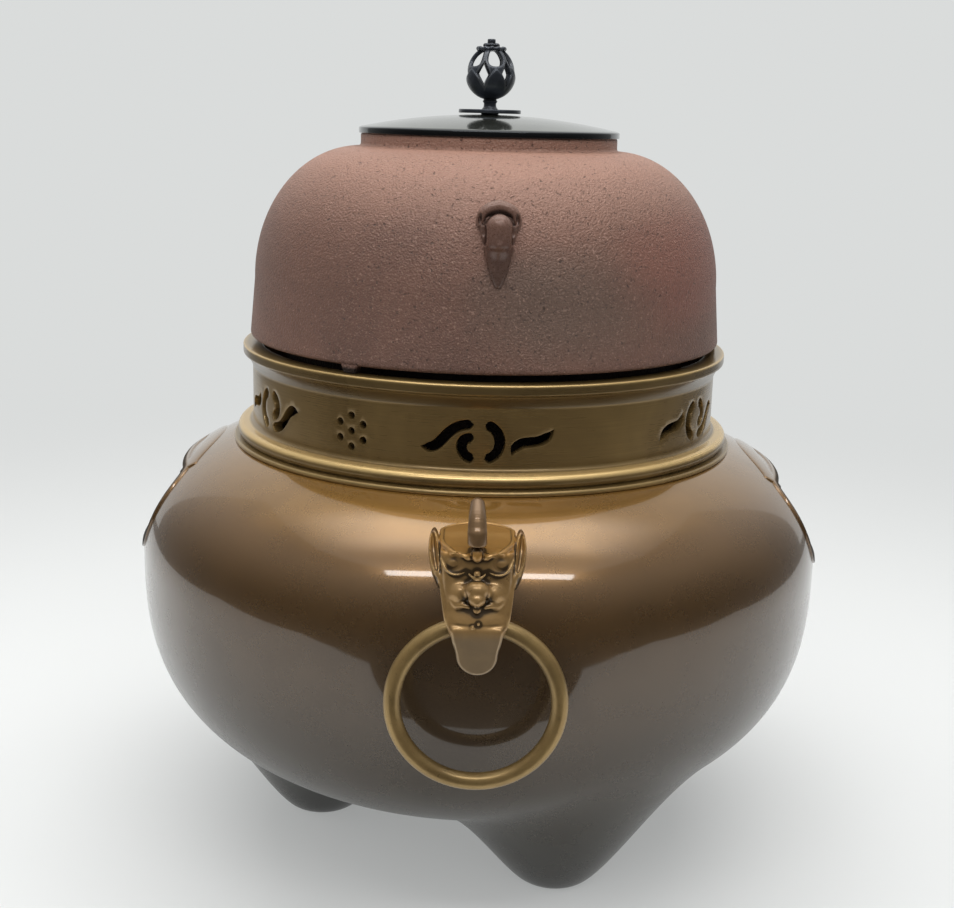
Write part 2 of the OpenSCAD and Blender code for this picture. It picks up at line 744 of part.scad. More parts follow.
// Openwork bud on a waisted stem, with its tenon peened under the lid
module knob() {
    peen_z = lid_top - lid_wall - back_washer_h;
    collar_r = 4.6;
    low = asin(stem_d / 2 / bud_r);
    high = asin(collar_r / bud_r);
    color(black)
        rotate([0, 0, kettle_turn]) {
            difference() {
                translate([0, 0, bud_z])
                    rotate_extrude()
                        polygon(concat(
                            [for (i = [0 : 16]) let (a = -90 + low + (180 - low - high) * i / 16)
                                [bud_r * cos(a), bud_h / 2 * sin(a)]],
                            [for (i = [16 : -1 : 0]) let (a = -90 + low + (180 - low - high) * i / 16)
                                [(bud_r - bud_wall) * cos(a), (bud_h / 2 - bud_wall) * sin(a)]]));
                for (k = [0 : 5]) {
                    // Pointed gap between two petals of the cup
                    rotate([0, 0, 60 * k - 13])
                        through_bud(1) polygon([[-2.6, 0.4], [0, -4.6], [2.6, 0.4], [0, 5]]);
                    // Round-bottomed gap inside a loop above
                    rotate([0, 0, 60 * k + 17])
                        through_bud(bud_h * 0.25)
                            polygon(concat(arc(0, 0, 2.5, 180, 360, 10), [[1.5, 3.4], [-1.5, 3.4]]));
                }
            }
            // Collar and button on top
            translate([0, 0, bud_z + bud_h / 2 * cos(high)])
                rotate_extrude()
                    polygon([[0, -1.6], [collar_r + 1, -1.6], [collar_r + 1.4, -0.6], [collar_r, 0.6],
                        [3.4, 1.4], [3.2, 2.4], [2, 2.6], [2, 3.8], [0, 3.8]]);
            // Stem, tenon and peened end
            rotate_extrude()
                polygon([[0, peen_z - 1.4], [2.4, peen_z - 1.4], [4, peen_z], [tenon_d / 2, peen_z],
                    [tenon_d / 2, seat_top], [stem_d / 2 + 0.9, seat_top], [stem_d / 2 - 0.2, seat_top + 1.4],
                    [stem_d / 2 - 0.2, seat_top + stem_h - 1.6], [stem_d / 2 + 0.6, seat_top + stem_h],
                    [stem_d / 2 + 0.6, seat_top + stem_h + 1.6], [0, seat_top + stem_h + 1.6]]);
        }
}

module knob_back_washer() {
    hole = tenon_d / 2 + seat_gap;
    color(lid_bronze)
        translate([0, 0, lid_top - lid_wall - back_washer_h])
            difference() {
                cylinder(h = back_washer_h, r = hole + 4.4);
                translate([0, 0, -1]) cylinder(h = back_washer_h + 2, r = hole);
            }
}

bowl();
neck();
mask_front();
mask_rear();
mask_washers();
mask_nuts();
ring_front();
ring_rear();
kettle();
kettle_lug_front();
kettle_lug_rear();
sound_plates();
lid();
knob_seat();
knob();
knob_back_washer();
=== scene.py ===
import math
import bmesh
import bpy
import numpy as np
from mathutils import Matrix, Vector
from mathutils.geometry import delaunay_2d_cdt


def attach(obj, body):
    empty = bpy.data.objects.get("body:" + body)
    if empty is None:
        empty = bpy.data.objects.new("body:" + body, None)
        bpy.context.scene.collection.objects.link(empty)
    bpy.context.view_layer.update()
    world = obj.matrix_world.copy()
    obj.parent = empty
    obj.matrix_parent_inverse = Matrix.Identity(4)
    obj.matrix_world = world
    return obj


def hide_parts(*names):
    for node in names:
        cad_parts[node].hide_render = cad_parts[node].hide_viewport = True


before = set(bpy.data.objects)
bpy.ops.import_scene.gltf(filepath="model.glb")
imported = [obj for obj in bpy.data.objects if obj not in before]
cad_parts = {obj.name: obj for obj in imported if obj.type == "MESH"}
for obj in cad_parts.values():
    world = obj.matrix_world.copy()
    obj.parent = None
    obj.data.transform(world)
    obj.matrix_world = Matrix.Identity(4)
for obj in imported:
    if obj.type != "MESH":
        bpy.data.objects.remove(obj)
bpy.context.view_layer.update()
scene = bpy.context.scene
mm = 0.001


# A socket that takes part in expressions. Each operator adds one Math node.
class Value:
    def __init__(self, graph, socket):
        self.graph, self.socket = graph, socket

    def other(self, key):
        return Value(self.graph, self.socket.node.outputs[key])

    def calc(self, operation, *others):
        return self.graph.add("ShaderNodeMath", {"operation": operation}, [self, *others])

    def turned(self, operation, other):
        return self.graph.add("ShaderNodeMath", {"operation": operation}, [other, self])

    def __add__(self, other): return self.calc("ADD", other)
    def __sub__(self, other): return self.calc("SUBTRACT", other)
    def __rsub__(self, other): return self.turned("SUBTRACT", other)
    def __mul__(self, other): return self.calc("MULTIPLY", other)
    def __truediv__(self, other): return self.calc("DIVIDE", other)
    def __rtruediv__(self, other): return self.turned("DIVIDE", other)
    def __pow__(self, other): return self.calc("POWER", other)
    def __gt__(self, other): return self.calc("GREATER_THAN", other)
    def __neg__(self): return self.calc("MULTIPLY", -1)
    __radd__, __rmul__ = __add__, __mul__

    def atLeast(self, low): return self.calc("MAXIMUM", low)
    def atMost(self, high): return self.calc("MINIMUM", high)
    def sin(self): return self.calc("SINE")
    def cos(self): return self.calc("COSINE")
    def root(self): return self.calc("SQRT")


# A node tree, with one method that makes every node
class Graph:
    def __init__(self, tree):
        self.tree = tree

    def add(self, kind, settings=None, sockets=None, out=0):
        node = self.tree.nodes.new(kind)
        for key, value in (settings or {}).items():
            if key == "stops":
                ramp = node.color_ramp.elements
                while len(ramp) < len(value):
                    ramp.new(0.5)
                for element, (place, colour) in zip(ramp, value):
                    element.position, element.color = place, (*colour, 1)
            else:
                setattr(node, key, value)
        pairs = sockets.items() if isinstance(sockets, dict) else enumerate(sockets or [])
        for key, value in pairs:
            if isinstance(value, Value):
                self.tree.links.new(value.socket, node.inputs[key])
            elif isinstance(value, tuple) and node.inputs[key].type == "RGBA":
                node.inputs[key].default_value = (*value, 1)
            else:
                node.inputs[key].default_value = value
        return Value(self, node.outputs[out]) if node.outputs else node

    def mix(self, factor, a, b):
        return self.add("ShaderNodeMix", {"data_type": "RGBA"}, {0: factor, 6: a, 7: b}, 2)

    # Lays tones over a colour, each with its own cover
    def over(self, colour, *layers):
        for cover, tone in layers:
            colour = self.mix(cover, colour, tone)
        return colour

    def noise(self, where, scale, detail, rough, warp=0):
        return self.add("ShaderNodeTexNoise", {}, {
            "Vector": where, "Scale": scale, "Detail": detail, "Roughness": rough, "Distortion": warp})

    def ease(self, value, low, high, fromValue=0, toValue=1):
        return self.add("ShaderNodeMapRange", {"interpolation_type": "SMOOTHSTEP"},
                        [value, low, high, fromValue, toValue])

    def ramp(self, value, stops):
        return self.add("ShaderNodeValToRGB", {"stops": stops}, [value])

    def bump(self, height, distance, strength):
        return self.add("ShaderNodeBump", {}, {"Height": height, "Distance": distance, "Strength": strength})

    def place(self):
        return self.add("ShaderNodeTexCoord", out="Object")

    def scaled(self, where, size):
        return self.add("ShaderNodeVectorMath", {"operation": "MULTIPLY"}, [where, size])

    def split(self, where):
        x = self.add("ShaderNodeSeparateXYZ", {}, [where])
        return x, x.other("Y"), x.other("Z")

    def attribute(self, name):
        return self.add("ShaderNodeAttribute", {"attribute_name": name}, out="Fac")


# A material from a function that returns the sockets of a plain shader, or a shader of its own
def finish(name, paint):
    material = bpy.data.materials.new(name)
    material.use_nodes = True
    material.node_tree.nodes.clear()
    graph = Graph(material.node_tree)
    look = paint(graph)
    shader = graph.add("ShaderNodeBsdfPrincipled", {}, look) if isinstance(look, dict) else look
    graph.add("ShaderNodeOutputMaterial", {}, {"Surface": shader})
    return material


# Colours as a paint chart shows them, turned to light values
def tint(r, g, b):
    return tuple((c / 255 / 12.92) if c < 10.3 else ((c / 255 + 0.055) / 1.055) ** 2.4 for c in (r, g, b))


# Place, cloud, grain and cloudy tone, which most of the metals start from
def metal(g, cloudSize, warp, grainSize, darker, lighter):
    where = g.place()
    cloud = g.noise(where, cloudSize, 4, 0.6, warp)
    grain = g.noise(where, grainSize, 3, 0.6)
    return where, cloud, grain, g.mix(g.ease(cloud, 0.3, 0.7), darker, lighter)


bowlTop = 0.22  # height at which the bowl's run of colours ends


# Lacquered bronze that runs from gold under the neck to slate at the feet
def paintBowl(g):
    where = g.place()
    z = g.split(where)[2]
    cloud = g.noise(where, 9, 4, 0.55, 0.6)
    smoke = g.noise(where, 38, 5, 0.6)
    fleck = g.noise(where, 1100, 2, 0.6)
    height = z + (cloud - 0.5) * 0.03 + (smoke - 0.5) * 0.008
    colour = g.ramp(height / bowlTop, [
        (0.00, tint(36, 43, 47)), (0.25, tint(32, 34, 34)), (0.48, tint(48, 40, 34)),
        (0.68, tint(74, 56, 38)), (0.85, tint(116, 84, 47)), (0.96, tint(160, 118, 56))])
    # Painted shade: the windows' edges and jambs are made near-black, dull and without coat
    soot = g.attribute("soot")
    return {
        "Base Color": g.over(colour, ((fleck - 0.5) * 0.07 + 0.05, tint(176, 150, 104)),
                             (g.ease(smoke, 0.35, 0.75, 0, 0.22), tint(48, 36, 26)),
                             (soot * 0.9, tint(22, 20, 18))),
        "Metallic": g.ease(z, 0.04, 0.2, 0.1, 0.68) * (1 - soot * 0.8),
        "Roughness": 0.27 + (smoke - 0.5) * 0.12 + (fleck - 0.5) * 0.02 + soot * 0.4,
        "Coat Weight": (g.ease(z, 0.06, 0.15, 0.05, 0.9) + (cloud - 0.5) * 0.3) * (1 - soot),
        "Coat Roughness": 0.06,
        "Coat IOR": 1.66,
        "Specular IOR Level": 0.3,
        "Normal": g.bump(fleck + smoke * 0.6, 0.00003, 0.06),
    }


# Heights of the hollow under the neck's rim and of the band over it, both darkened with painted shade
neckShadeMarks = dict(hollow=(0.2420, 0.2485), shadeBandTop=0.2525)


# Satin bronze of the neck, with painted shade in the hollow and on the band over it, and bright along the worn edges,
# where the bright lines are partly painted highlights
def paintNeck(g):
    where = g.place()
    z = g.split(where)[2]
    turned = g.noise(g.scaled(where, (30, 30, 1800)), 1, 3, 0.6)
    cloud = g.noise(where, 14, 4, 0.6, 0.5)
    fleck = g.noise(where, 1500, 2, 0.6)
    colour = g.mix(g.ease(cloud, 0.3, 0.72), tint(122, 99, 60), tint(150, 124, 77))
    (low, high), top = neckShadeMarks["hollow"], neckShadeMarks["shadeBandTop"]
    # Painted shade in the hollow under the rim and, lighter, on the band over it
    hollow = g.ease(z, low, low + 0.0008) * g.ease(z, high, high - 0.0006)
    band = g.ease(z, high, high + 0.0006) * g.ease(z, top, top - 0.001)
    return {
        "Base Color": g.over(colour, ((turned - 0.5) * 0.5 + 0.2, tint(72, 57, 34)),
                             (hollow * 0.6, tint(50, 41, 26)), (band * 0.45, tint(66, 54, 32)),
                             # Worn edges, and painted highlights along the rim's top edge and the foot's band
                             (g.attribute("wear") * 0.8, tint(232, 198, 134))),
        "Metallic": 0.6,
        "Roughness": 0.29 + (cloud - 0.5) * 0.16 + (turned - 0.5) * 0.1,
        "Coat Weight": 0.3 + (cloud - 0.5) * 0.2,
        "Coat Roughness": 0.12,
        "Normal": g.bump(turned * 0.5 + fleck * 0.5, 0.00003, 0.4),
    }


# Where a mask changes tone: heights, and distances from the middle of the bowl. The crown's top is made golden as
# painted light, and the jaw behind the tongue dark as painted shade.
maskMarks = dict(crownLitLow=(0.1965, 0.1995), crownLitHigh=(0.2045, 0.203), horn=(0.2022, 0.2034),
                 front=(0.181, 0.183), tongue=(0.171, 0.165), behind=(0.168, 0.165))


# Cast bronze of the masks, dark in the hollows with patina and painted shade, and rubbed on the high places
def paintMask(g):
    where, cloud, grain, colour = metal(g, 90, 0.4, 900, tint(145, 114, 71), tint(169, 134, 85))
    rubAndShade = g.attribute("wear")
    y, z = g.split(where)[1:]
    # Painted light: the crown's top plate is made more golden
    crown = g.ease(z, *maskMarks["crownLitLow"]) * g.ease(z, *maskMarks["crownLitHigh"])
    proud = g.ease((y * y).root(), *maskMarks["front"])
    return {
        "Base Color": g.over(colour, (crown * 0.6, tint(176, 126, 58)),
                             (g.ease(z, *maskMarks["horn"], 0, 0.7), tint(88, 66, 50)),
                             (g.ease(z, *maskMarks["tongue"]) * (proud * 0.6), tint(134, 122, 104)),
                             # Painted shade on the jaw and hinge housing behind the tongue
                             (g.ease(z, *maskMarks["behind"]) * (1 - proud) * 0.85, tint(36, 28, 20)),
                             # Hollows darker as patina and painted shade, crests rubbed lighter
                             (g.ease(rubAndShade, 0.46, 0.1, 0, 0.85), tint(34, 26, 18)),
                             (g.ease(rubAndShade, 0.6, 1, 0, 0.4), tint(186, 154, 102))),
        "Metallic": 0.55,
        "Roughness": 0.3 + (cloud - 0.5) * 0.16,
        "Coat Weight": 0.4 + (cloud - 0.5) * 0.2,
        "Coat Roughness": 0.1,
        "Normal": g.bump(grain, 0.00006, 0.4),
    }


# Antique brass of the carrying rings
def paintRing(g):
    cloud, grain, colour = metal(g, 60, 0.3, 1100, tint(124, 102, 64), tint(150, 124, 79))[1:]
    return {
        "Base Color": g.over(colour, (g.ease(g.attribute("wear"), 0.3, 0.95, 0, 0.4), tint(170, 142, 92)),
                             (g.ease(grain, 0.58, 0.8, 0, 0.5), tint(70, 56, 36))),
        "Metallic": 0.62,
        "Roughness": 0.31 + (cloud - 0.5) * 0.2,
        "Coat Weight": 0.15 + (cloud - 0.5) * 0.1,
        "Coat Roughness": 0.2,
        "Normal": g.bump(grain, 0.00005, 0.4),
    }


# Heights at which the kettle changes tone, and its patches as place and half size across and up. The top is paler as
# dust and painted light, the lugs darker low down with painted shade, and the pot under the skirt near-black as soot
# and painted shade.
ironMarks = dict(soot=(0.2564, 0.2549), paleDustAndLight=(0.308, 0.345), lugShade=(0.318, 0.306),
                 redPatch=(0.09, 0.3, 0.045, 0.028), greyPatch=(0.035, 0.287, 0.045, 0.03))


# Uneven patch of another tone
def patch(g, x, z, spot, uneven):
    across, up, wide, high = spot
    return g.ease(((x - across) / wide) ** 2 + ((z - up) / high) ** 2 + uneven, 1.3, 0.1)


# Cast iron with a dull red-brown skin, smoother and darker on the cast lugs, darker still low down on them with
# painted shade, and with patina and painted shade in their hollows
def paintIron(g):
    where = g.place()
    x, y, z = g.split(where)
    cast = g.attribute("cast")
    cloud = g.noise(where, 11, 5, 0.6, 0.5)
    grain = g.noise(where, 1050, 3, 0.6)
    pit = g.noise(where, 620, 3, 0.6)
    pebble = g.add("ShaderNodeTexVoronoi", {"feature": "SMOOTH_F1"}, {
        "Vector": where, "Scale": 1120.0, "Smoothness": 0.4})
    colour = g.mix(g.ease(cloud, 0.32, 0.7), tint(100, 74, 64), tint(119, 87, 74))
    redder = patch(g, x, z, ironMarks["redPatch"], (cloud - 0.5) * 2.0)
    greyer = patch(g, x, z, ironMarks["greyPatch"], (cloud - 0.5) * 2.4)
    hollow = g.ease(pit, 0.42, 0.27) * (1 - cast)
    # Hollows of the lugs darker as patina and painted shade
    sunk = g.ease(g.attribute("wear"), 0.46, 0.12, 0, 0.8) * cast
    height = grain * 0.6 - pebble * 0.55 - hollow * 0.5
    return {
        # Paler top: dust and painted light. Lugs darker low down: painted shade. Under the skirt: soot and painted
        # shade.
        "Base Color": g.over(colour, (g.ease(z, *ironMarks["paleDustAndLight"], 0, 0.75), tint(162, 124, 107)),
                             (redder * 0.5, tint(130, 81, 70)),
                             (greyer * (-y > 0) * 0.65, tint(95, 80, 70)),
                             (g.ease(grain, 0.54, 0.74, 0, 0.5), tint(180, 146, 130)),
                             (hollow * 0.75, tint(50, 36, 32)),
                             (cast * g.ease(z, *ironMarks["lugShade"], 0.45, 0.66), tint(64, 47, 41)),
                             (g.ease(z, *ironMarks["soot"], 0, 0.9), tint(20, 18, 18)),
                             (sunk, tint(30, 22, 20))),
        "Metallic": 0.2,
        "Roughness": 0.5 + (grain - 0.5) * 0.3 - cast * 0.2,
        "Coat Weight": cast * 0.15,
        "Coat Roughness": 0.2,
        "Normal": g.bump(height * (1 - cast * 0.85), 0.0011, 0.7),
    }


# The lid's edge is darkened with painted shade between these distances
lidEdgeShade = (0.0612, 0.0626)  # distances from the axis between which the lid's edge darkens


# Dark bronze lid, glossy with a green-grey cast, its edge darkened with painted shade
def paintLid(g):
    where, cloud, grain, colour = metal(g, 24, 0.4, 1200, tint(88, 90, 82), tint(108, 110, 100))
    x, y = g.split(where)[:2]
    return {
        # Painted shade on the lid's edge
        "Base Color": g.over(colour, (g.ease((x * x + y * y).root(), *lidEdgeShade), tint(38, 41, 44))),
        "Metallic": 0.85,
        "Roughness": 0.13 + (cloud - 0.5) * 0.1,
        "Coat Weight": 0.5 + (cloud - 0.5) * 0.2,
        "Coat Roughness": 0.05,
        "Normal": g.bump(grain, 0.00003, 0.35),
    }


# Black patina of the knob and its disc, rubbed lighter on the crests and darker in the hollows as patina and painted
# shade
def paintBlack(g):
    cloud, grain, colour = metal(g, 160, 0, 1600, tint(46, 50, 57), tint(62, 67, 75))[1:]
    # Crests rubbed lighter; hollows darker as patina and painted shade
    rubAndShade = g.attribute("wear")
    return {
        "Base Color": g.over(colour, (g.ease(rubAndShade, 0.66, 1, 0, 0.3), tint(118, 120, 122)),
                             (g.ease(rubAndShade, 0.4, 0.1, 0, 0.7), tint(12, 13, 15))),
        "Metallic": 0.5,
        "Roughness": 0.36 + (cloud - 0.5) * 0.25,
        "Coat Weight": 0.25 + (cloud - 0.5) * 0.2,
        "Coat Roughness": 0.2,
        "Normal": g.bump(grain, 0.00005, 0.4),
    }


# Plain brass of what is hidden inside the bowl
def paintFastener(g):
    cloud, grain, colour = metal(g, 120, 0, 900, tint(110, 92, 56), tint(150, 126, 78))[1:]
    return {
        "Base Color": colour,
        "Metallic": 0.85,
        "Roughness": 0.38 + (cloud - 0.5) * 0.3,
        "Normal": g.bump(grain, 0.00005, 0.4),
    }


bowlBronze = finish("bowlBronze", paintBowl)
neckBronze = finish("neckBronze", paintNeck)
maskBronze = finish("maskBronze", paintMask)
ringBrass = finish("ringBrass", paintRing)
kettleIron = finish("kettleIron", paintIron)
lidBronze = finish("lidBronze", paintLid)
knobBlack = finish("knobBlack", paintBlack)
fastenerBrass = finish("fastenerBrass", paintFastener)
print("finishes:", len(bpy.data.materials))


def newObject(name, data):
    made = bpy.data.objects.new(name, data)
    scene.collection.objects.link(made)
    return made


# Puts a mesh in millimetres into the scene as a finished piece
def settle(name, mesh, sharp):
    mesh.transform(Matrix.Scale(mm, 4))
    mesh.shade_smooth()
    mesh.set_sharp_from_angle(angle=math.radians(sharp))
    mesh.name = name
    return newObject(name, mesh)


def meshOf(points, faces, material):
    mesh = bpy.data.meshes.new("loose")
    mesh.from_pydata([tuple(map(float, p)) for p in points], [], [tuple(map(int, f)) for f in faces])
    mesh.materials.append(material)
    return mesh


# Ends the editing of a shape, with the finish of the mesh that it came from in its one slot
def freshMesh(shape, source):
    for face in shape.faces:
        face.material_index = 0
    result = bpy.data.meshes.new("fresh")
    shape.to_mesh(result)
    shape.free()
    result.materials.clear()
    result.materials.append(next(m for m in source.materials if m is not None))
    return result


seam = 0.004  # points nearer than this are one point


# Joins meshes, closes their seams and points the faces outwards
def joined(meshes, gap=seam, outwards=True):
    shape = bmesh.new()
    for mesh in meshes:
        shape.from_mesh(mesh)
    bmesh.ops.remove_doubles(shape, verts=shape.verts, dist=gap)
    if outwards:
        bmesh.ops.recalc_face_normals(shape, faces=shape.faces)
    return freshMesh(shape, meshes[0])


def setAttribute(mesh, name, values):
    data = mesh.attributes.new(name, "FLOAT", "POINT")
    data.data.foreach_set("value", np.asarray(values, np.float32))


def pointsOf(mesh):
    flat = np.zeros(len(mesh.vertices) * 3, np.float32)
    mesh.vertices.foreach_get("co", flat)
    return flat.reshape(-1, 3).astype(float)


def newTree(name, inputs):
    tree = bpy.data.node_groups.new(name, "GeometryNodeTree")
    tree.interface.new_socket("Mesh", in_out="OUTPUT", socket_type="NodeSocketGeometry")
    for label, kind in inputs:
        tree.interface.new_socket(label, in_out="INPUT", socket_type="NodeSocket" + kind)
    graph = Graph(tree)
    first = graph.add("NodeGroupInput")
    return graph, {label: first.other(label) for label, kind in inputs}


# Ends a tree with real geometry that carries its material
def endTree(graph, geometry, material):
    real = graph.add("GeometryNodeRealizeInstances", {}, [geometry])
    clad = graph.add("GeometryNodeSetMaterial", {}, {"Geometry": real, "Material": material})
    graph.add("NodeGroupOutput", {}, [clad])
    return graph.tree


# Ends a tree with a sheet of turns by rows, bent round the axis
def endBent(graph, given, radius, angle, height):
    sheet = graph.add("GeometryNodeMeshGrid", {}, {
        "Size X": 1.0, "Size Y": 1.0, "Vertices X": given["Turns"] + 1, "Vertices Y": given["Rows"]})
    there = graph.add("ShaderNodeCombineXYZ", {}, [radius * angle.sin(), -(radius * angle.cos()), height])
    bent = graph.add("GeometryNodeSetPosition", {}, {"Geometry": sheet, "Position": there})
    return endTree(graph, bent, given["Finish"])


# Runs a tree once and returns what it makes as a plain mesh
def runTree(tree, **sizes):
    host = newObject("host", bpy.data.meshes.new("host"))
    modifier = host.modifiers.new("rule", "NODES")
    modifier.node_group = tree
    for item in tree.interface.items_tree:
        if item.in_out == "INPUT":
            modifier[item.identifier] = sizes[item.name]
    mesh = bpy.data.meshes.new_from_object(host.evaluated_get(bpy.context.evaluated_depsgraph_get()))
    bpy.data.objects.remove(host)
    return mesh


# Turns a profile about the axis: rows of a sheet read their radius and height from the profile's points
def latheTree():
    graph, given = newTree("latheRule", [
        ("Profile", "Object"), ("Rows", "Int"), ("Turns", "Int"), ("Finish", "Material")])
    index = graph.add("GeometryNodeInputIndex")
    turn = (index / given["Rows"] + 0.0001).calc("FLOOR")
    row = index - turn * given["Rows"]
    profile = graph.add("GeometryNodeObjectInfo", {}, {"Object": given["Profile"]}, "Geometry")
    spot = graph.add("GeometryNodeSampleIndex", {"data_type": "FLOAT_VECTOR", "domain": "POINT"}, {
        "Geometry": profile, "Value": graph.add("GeometryNodeInputPosition"), "Index": row})
    radius, height = graph.split(spot)[::2]
    return endBent(graph, given, radius, turn / given["Turns"] * (2 * math.pi), height)


latheRule = latheTree()


def lathe(profile, turns, material):
    points = [(p[0], 0, p[1]) for p in profile]
    mesh = bpy.data.meshes.new("profile")
    mesh.from_pydata(points, [(i, i + 1) for i in range(len(points) - 1)], [])
    guide = newObject("profile", mesh)
    made = runTree(latheRule, Profile=guide, Rows=len(points), Turns=turns, Finish=material)
    bpy.data.objects.remove(guide)
    return made


# Solid with a closed profile
def turnedSolid(profile, turns, material):
    return joined([lathe(profile + profile[:1], turns, material)])


def arc(x, y, r, start, stop, n):
    return [(x + r * math.cos(a), y + r * math.sin(a))
            for a in np.radians(np.linspace(start, stop, n + 1))]


def line(a, b, n):
    return [(a[0] + (b[0] - a[0]) * i / n, a[1] + (b[1] - a[1]) * i / n) for i in range(n + 1)]


# Cubic curve through four handles
def bezier(p, t):
    p = np.asarray(p, float)
    t = np.asarray(t)[:, None]
    return (1 - t) ** 3 * p[0] + 3 * t * (1 - t) ** 2 * p[1] + 3 * t * t * (1 - t) * p[2] + t ** 3 * p[3]


# Bowl

bowl = dict(radius=169.0, belly=146.0, drop=114.0, rise=73.0, lower=2.6, upper=2.75, wall=4.5, collar=8.0,
            footCircle=81.0, legTurn=30.0, sole=17.0, soleRound=5.0, legAngle=42.0, legCurve=0.018, legBlend=43.0,
            soleWall=10.0, wellRun=22.0, wellRise=49.0, wellIn=2.0, baseRadius=124.0, mouthRadius=113.2,
            turns=300, lowRows=126, highRows=44, linerHigh=27, linerLow=49)
window = dict(height=37.0, width=108.0, middle=174.0, sideways=80.0, edge=2.5, edgeOut=0.9, edgePoints=240,
              browWidth=5.5, browOut=1.3, browDrop=5.6, browReach=40.0, browSwell=0.3, browEnd=0.06, browPast=1.04,
              browClear=1.5, browSink=0.25, browRows=97, browSides=14)


def shoulderRadius(z, grow=0.0):
    share = np.clip((z - bowl["belly"]) / (bowl["rise"] + grow), 0, 1)
    return (bowl["radius"] + grow) * (1 - share ** bowl["upper"]) ** (1 / bowl["upper"])


baseShare = (bowl["baseRadius"] / bowl["radius"]) ** bowl["upper"]
seatZ = bowl["belly"] + bowl["rise"] * (1 - baseShare) ** (1 / bowl["upper"])
windowHalf = (window["width"] - window["height"]) / 2  # half of the straight run of a window


# Directions of the legs from the axis
def legDirections():
    turns = [math.radians(bowl["legTurn"] + 120 * k) for k in range(3)]
    return [(math.sin(turn), -math.cos(turn)) for turn in turns]


# Skin of the bowl: a sheet bent into the round body, with three legs melting out of it below
def bowlTree():
    sizes = ["radius", "belly", "drop", "rise", "lower", "upper", "footCircle", "sole", "soleRound",
             "legSteep", "legCurve", "legBlend", "topAngle", "lowShare"]
    graph, given = newTree("bowlRule", [(s, "Float") for s in sizes] + [
        ("Turns", "Int"), ("Rows", "Int"), ("Finish", "Material")])
    (radius, belly, drop, rise, lower, upper, footCircle, sole, soleRound,
     legSteep, legCurve, blend, topAngle, lowShare) = (given[s] for s in sizes)
    across, up = graph.split(graph.add("GeometryNodeInputPosition"))[:2]
    angle = (across + 0.5) * (2 * math.pi)
    share = up + 0.5
    low = (share / lowShare).atMost(1) * (math.pi / 2)
    lowRadius = radius * low.sin()
    x, y = lowRadius * angle.sin(), -(lowRadius * angle.cos())
    z = belly - drop * (1 - (lowRadius / radius) ** lower).atLeast(0) ** (1 / lower)
    for legX, legY in legDirections():
        reach = ((x - footCircle * legX) ** 2 + (y - footCircle * legY) ** 2).root() - sole
        soft = (reach + (reach * reach + soleRound ** 2).root()) / 2
        leg = soft * legSteep + soft * soft * legCurve - soleRound / 2
        part = (0.5 + (z - leg) / blend * 0.5).atLeast(0).atMost(1)
        z = z * (1 - part) + leg * part - blend * part * (1 - part)
    top = (share - lowShare).atLeast(0) / (1 - lowShare) * topAngle
    highRadius = radius * top.cos() ** (2 / upper)
    highZ = belly + rise * top.sin() ** (2 / upper)
    above = share > lowShare + 0.00001
    r = lowRadius * (1 - above) + highRadius * above
    return endBent(graph, given, r, angle, z.atLeast(0) * (1 - above) + highZ * above)


def cavityProfile():
    r, rise, drop = (bowl[k] - bowl["wall"] for k in ("radius", "rise", "drop"))
    collarZ = seatZ - bowl["collar"]
    top = math.asin(((collarZ - bowl["belly"]) / rise) ** (bowl["upper"] / 2))
    points = line((bowl["baseRadius"], seatZ), (bowl["mouthRadius"], seatZ), 4)
    points += line((bowl["mouthRadius"], seatZ), (bowl["mouthRadius"], collarZ), 4)[1:]
    upper, lower = 2 / bowl["upper"], 2 / bowl["lower"]
    for a in np.linspace(top, 0, bowl["linerHigh"]):
        points.append((r * math.cos(a) ** upper, bowl["belly"] + rise * math.sin(a) ** upper))
    for a in np.linspace(math.pi / 2, 0, bowl["linerLow"])[1:]:
        points.append((r * math.sin(a) ** lower, bowl["belly"] - drop * math.cos(a) ** lower))
    return points


# Distance from the outline of a window, negative inside
def windowDistance(y, z):
    over = np.maximum(np.abs(y) - windowHalf, 0)
    return np.hypot(over, z - window["middle"]) - window["height"] / 2


# Cuts both windows out of a skin and draws the cut's edge onto the outline
def cutWindows(mesh, grow):
    shape = bmesh.new()
    shape.from_mesh(mesh)
    bmesh.ops.remove_doubles(shape, verts=shape.verts, dist=seam)
    inside = {v for v in shape.verts
              if abs(v.co.x) > window["sideways"] and windowDistance(v.co.y, v.co.z) < 0}
    gone = [f for f in shape.faces if all(v in inside for v in f.verts)]
    bmesh.ops.delete(shape, geom=gone, context="FACES")
    for v in shape.verts:
        if v in inside:
            core = np.array([np.clip(v.co.y, -windowHalf, windowHalf), window["middle"]])
            away = np.array([v.co.y, v.co.z]) - core
            y, z = core + away / max(np.linalg.norm(away), 1e-6) * window["height"] / 2
            x = math.sqrt(shoulderRadius(z, grow) ** 2 - y * y)
            v.co = (math.copysign(x, v.co.x), y, z)
    return freshMesh(shape, mesh)


# Place over the shoulder at a height and a distance along the side, lifted out of it
def onShoulder(y, z, side, lift):
    r = float(shoulderRadius(z))
    x = math.sqrt(max(r * r - y * y, 0))
    share, power = (z - bowl["belly"]) / bowl["rise"], bowl["upper"] - 1
    steep = (share ** power / bowl["rise"]) / ((r / bowl["radius"]) ** power / bowl["radius"])
    return Vector((x * side, y, z)) + Vector((x / r * side, y / r, steep)).normalized() * lift


# Rows of points joined into a skin, closed along the rows where they return to their start
def skinOf(rows, side, material, closed):
    count = len(rows[0])
    faces = []
    for i in range(len(rows) if closed else len(rows) - 1):
        for j in range(count - 1):
            a, b = i * count + j, (i + 1) % len(rows) * count + j
            faces.append((a, a + 1, b + 1, b) if side < 0 else (a, b, b + 1, a + 1))
    return meshOf([p for row in rows for p in row], faces, material)


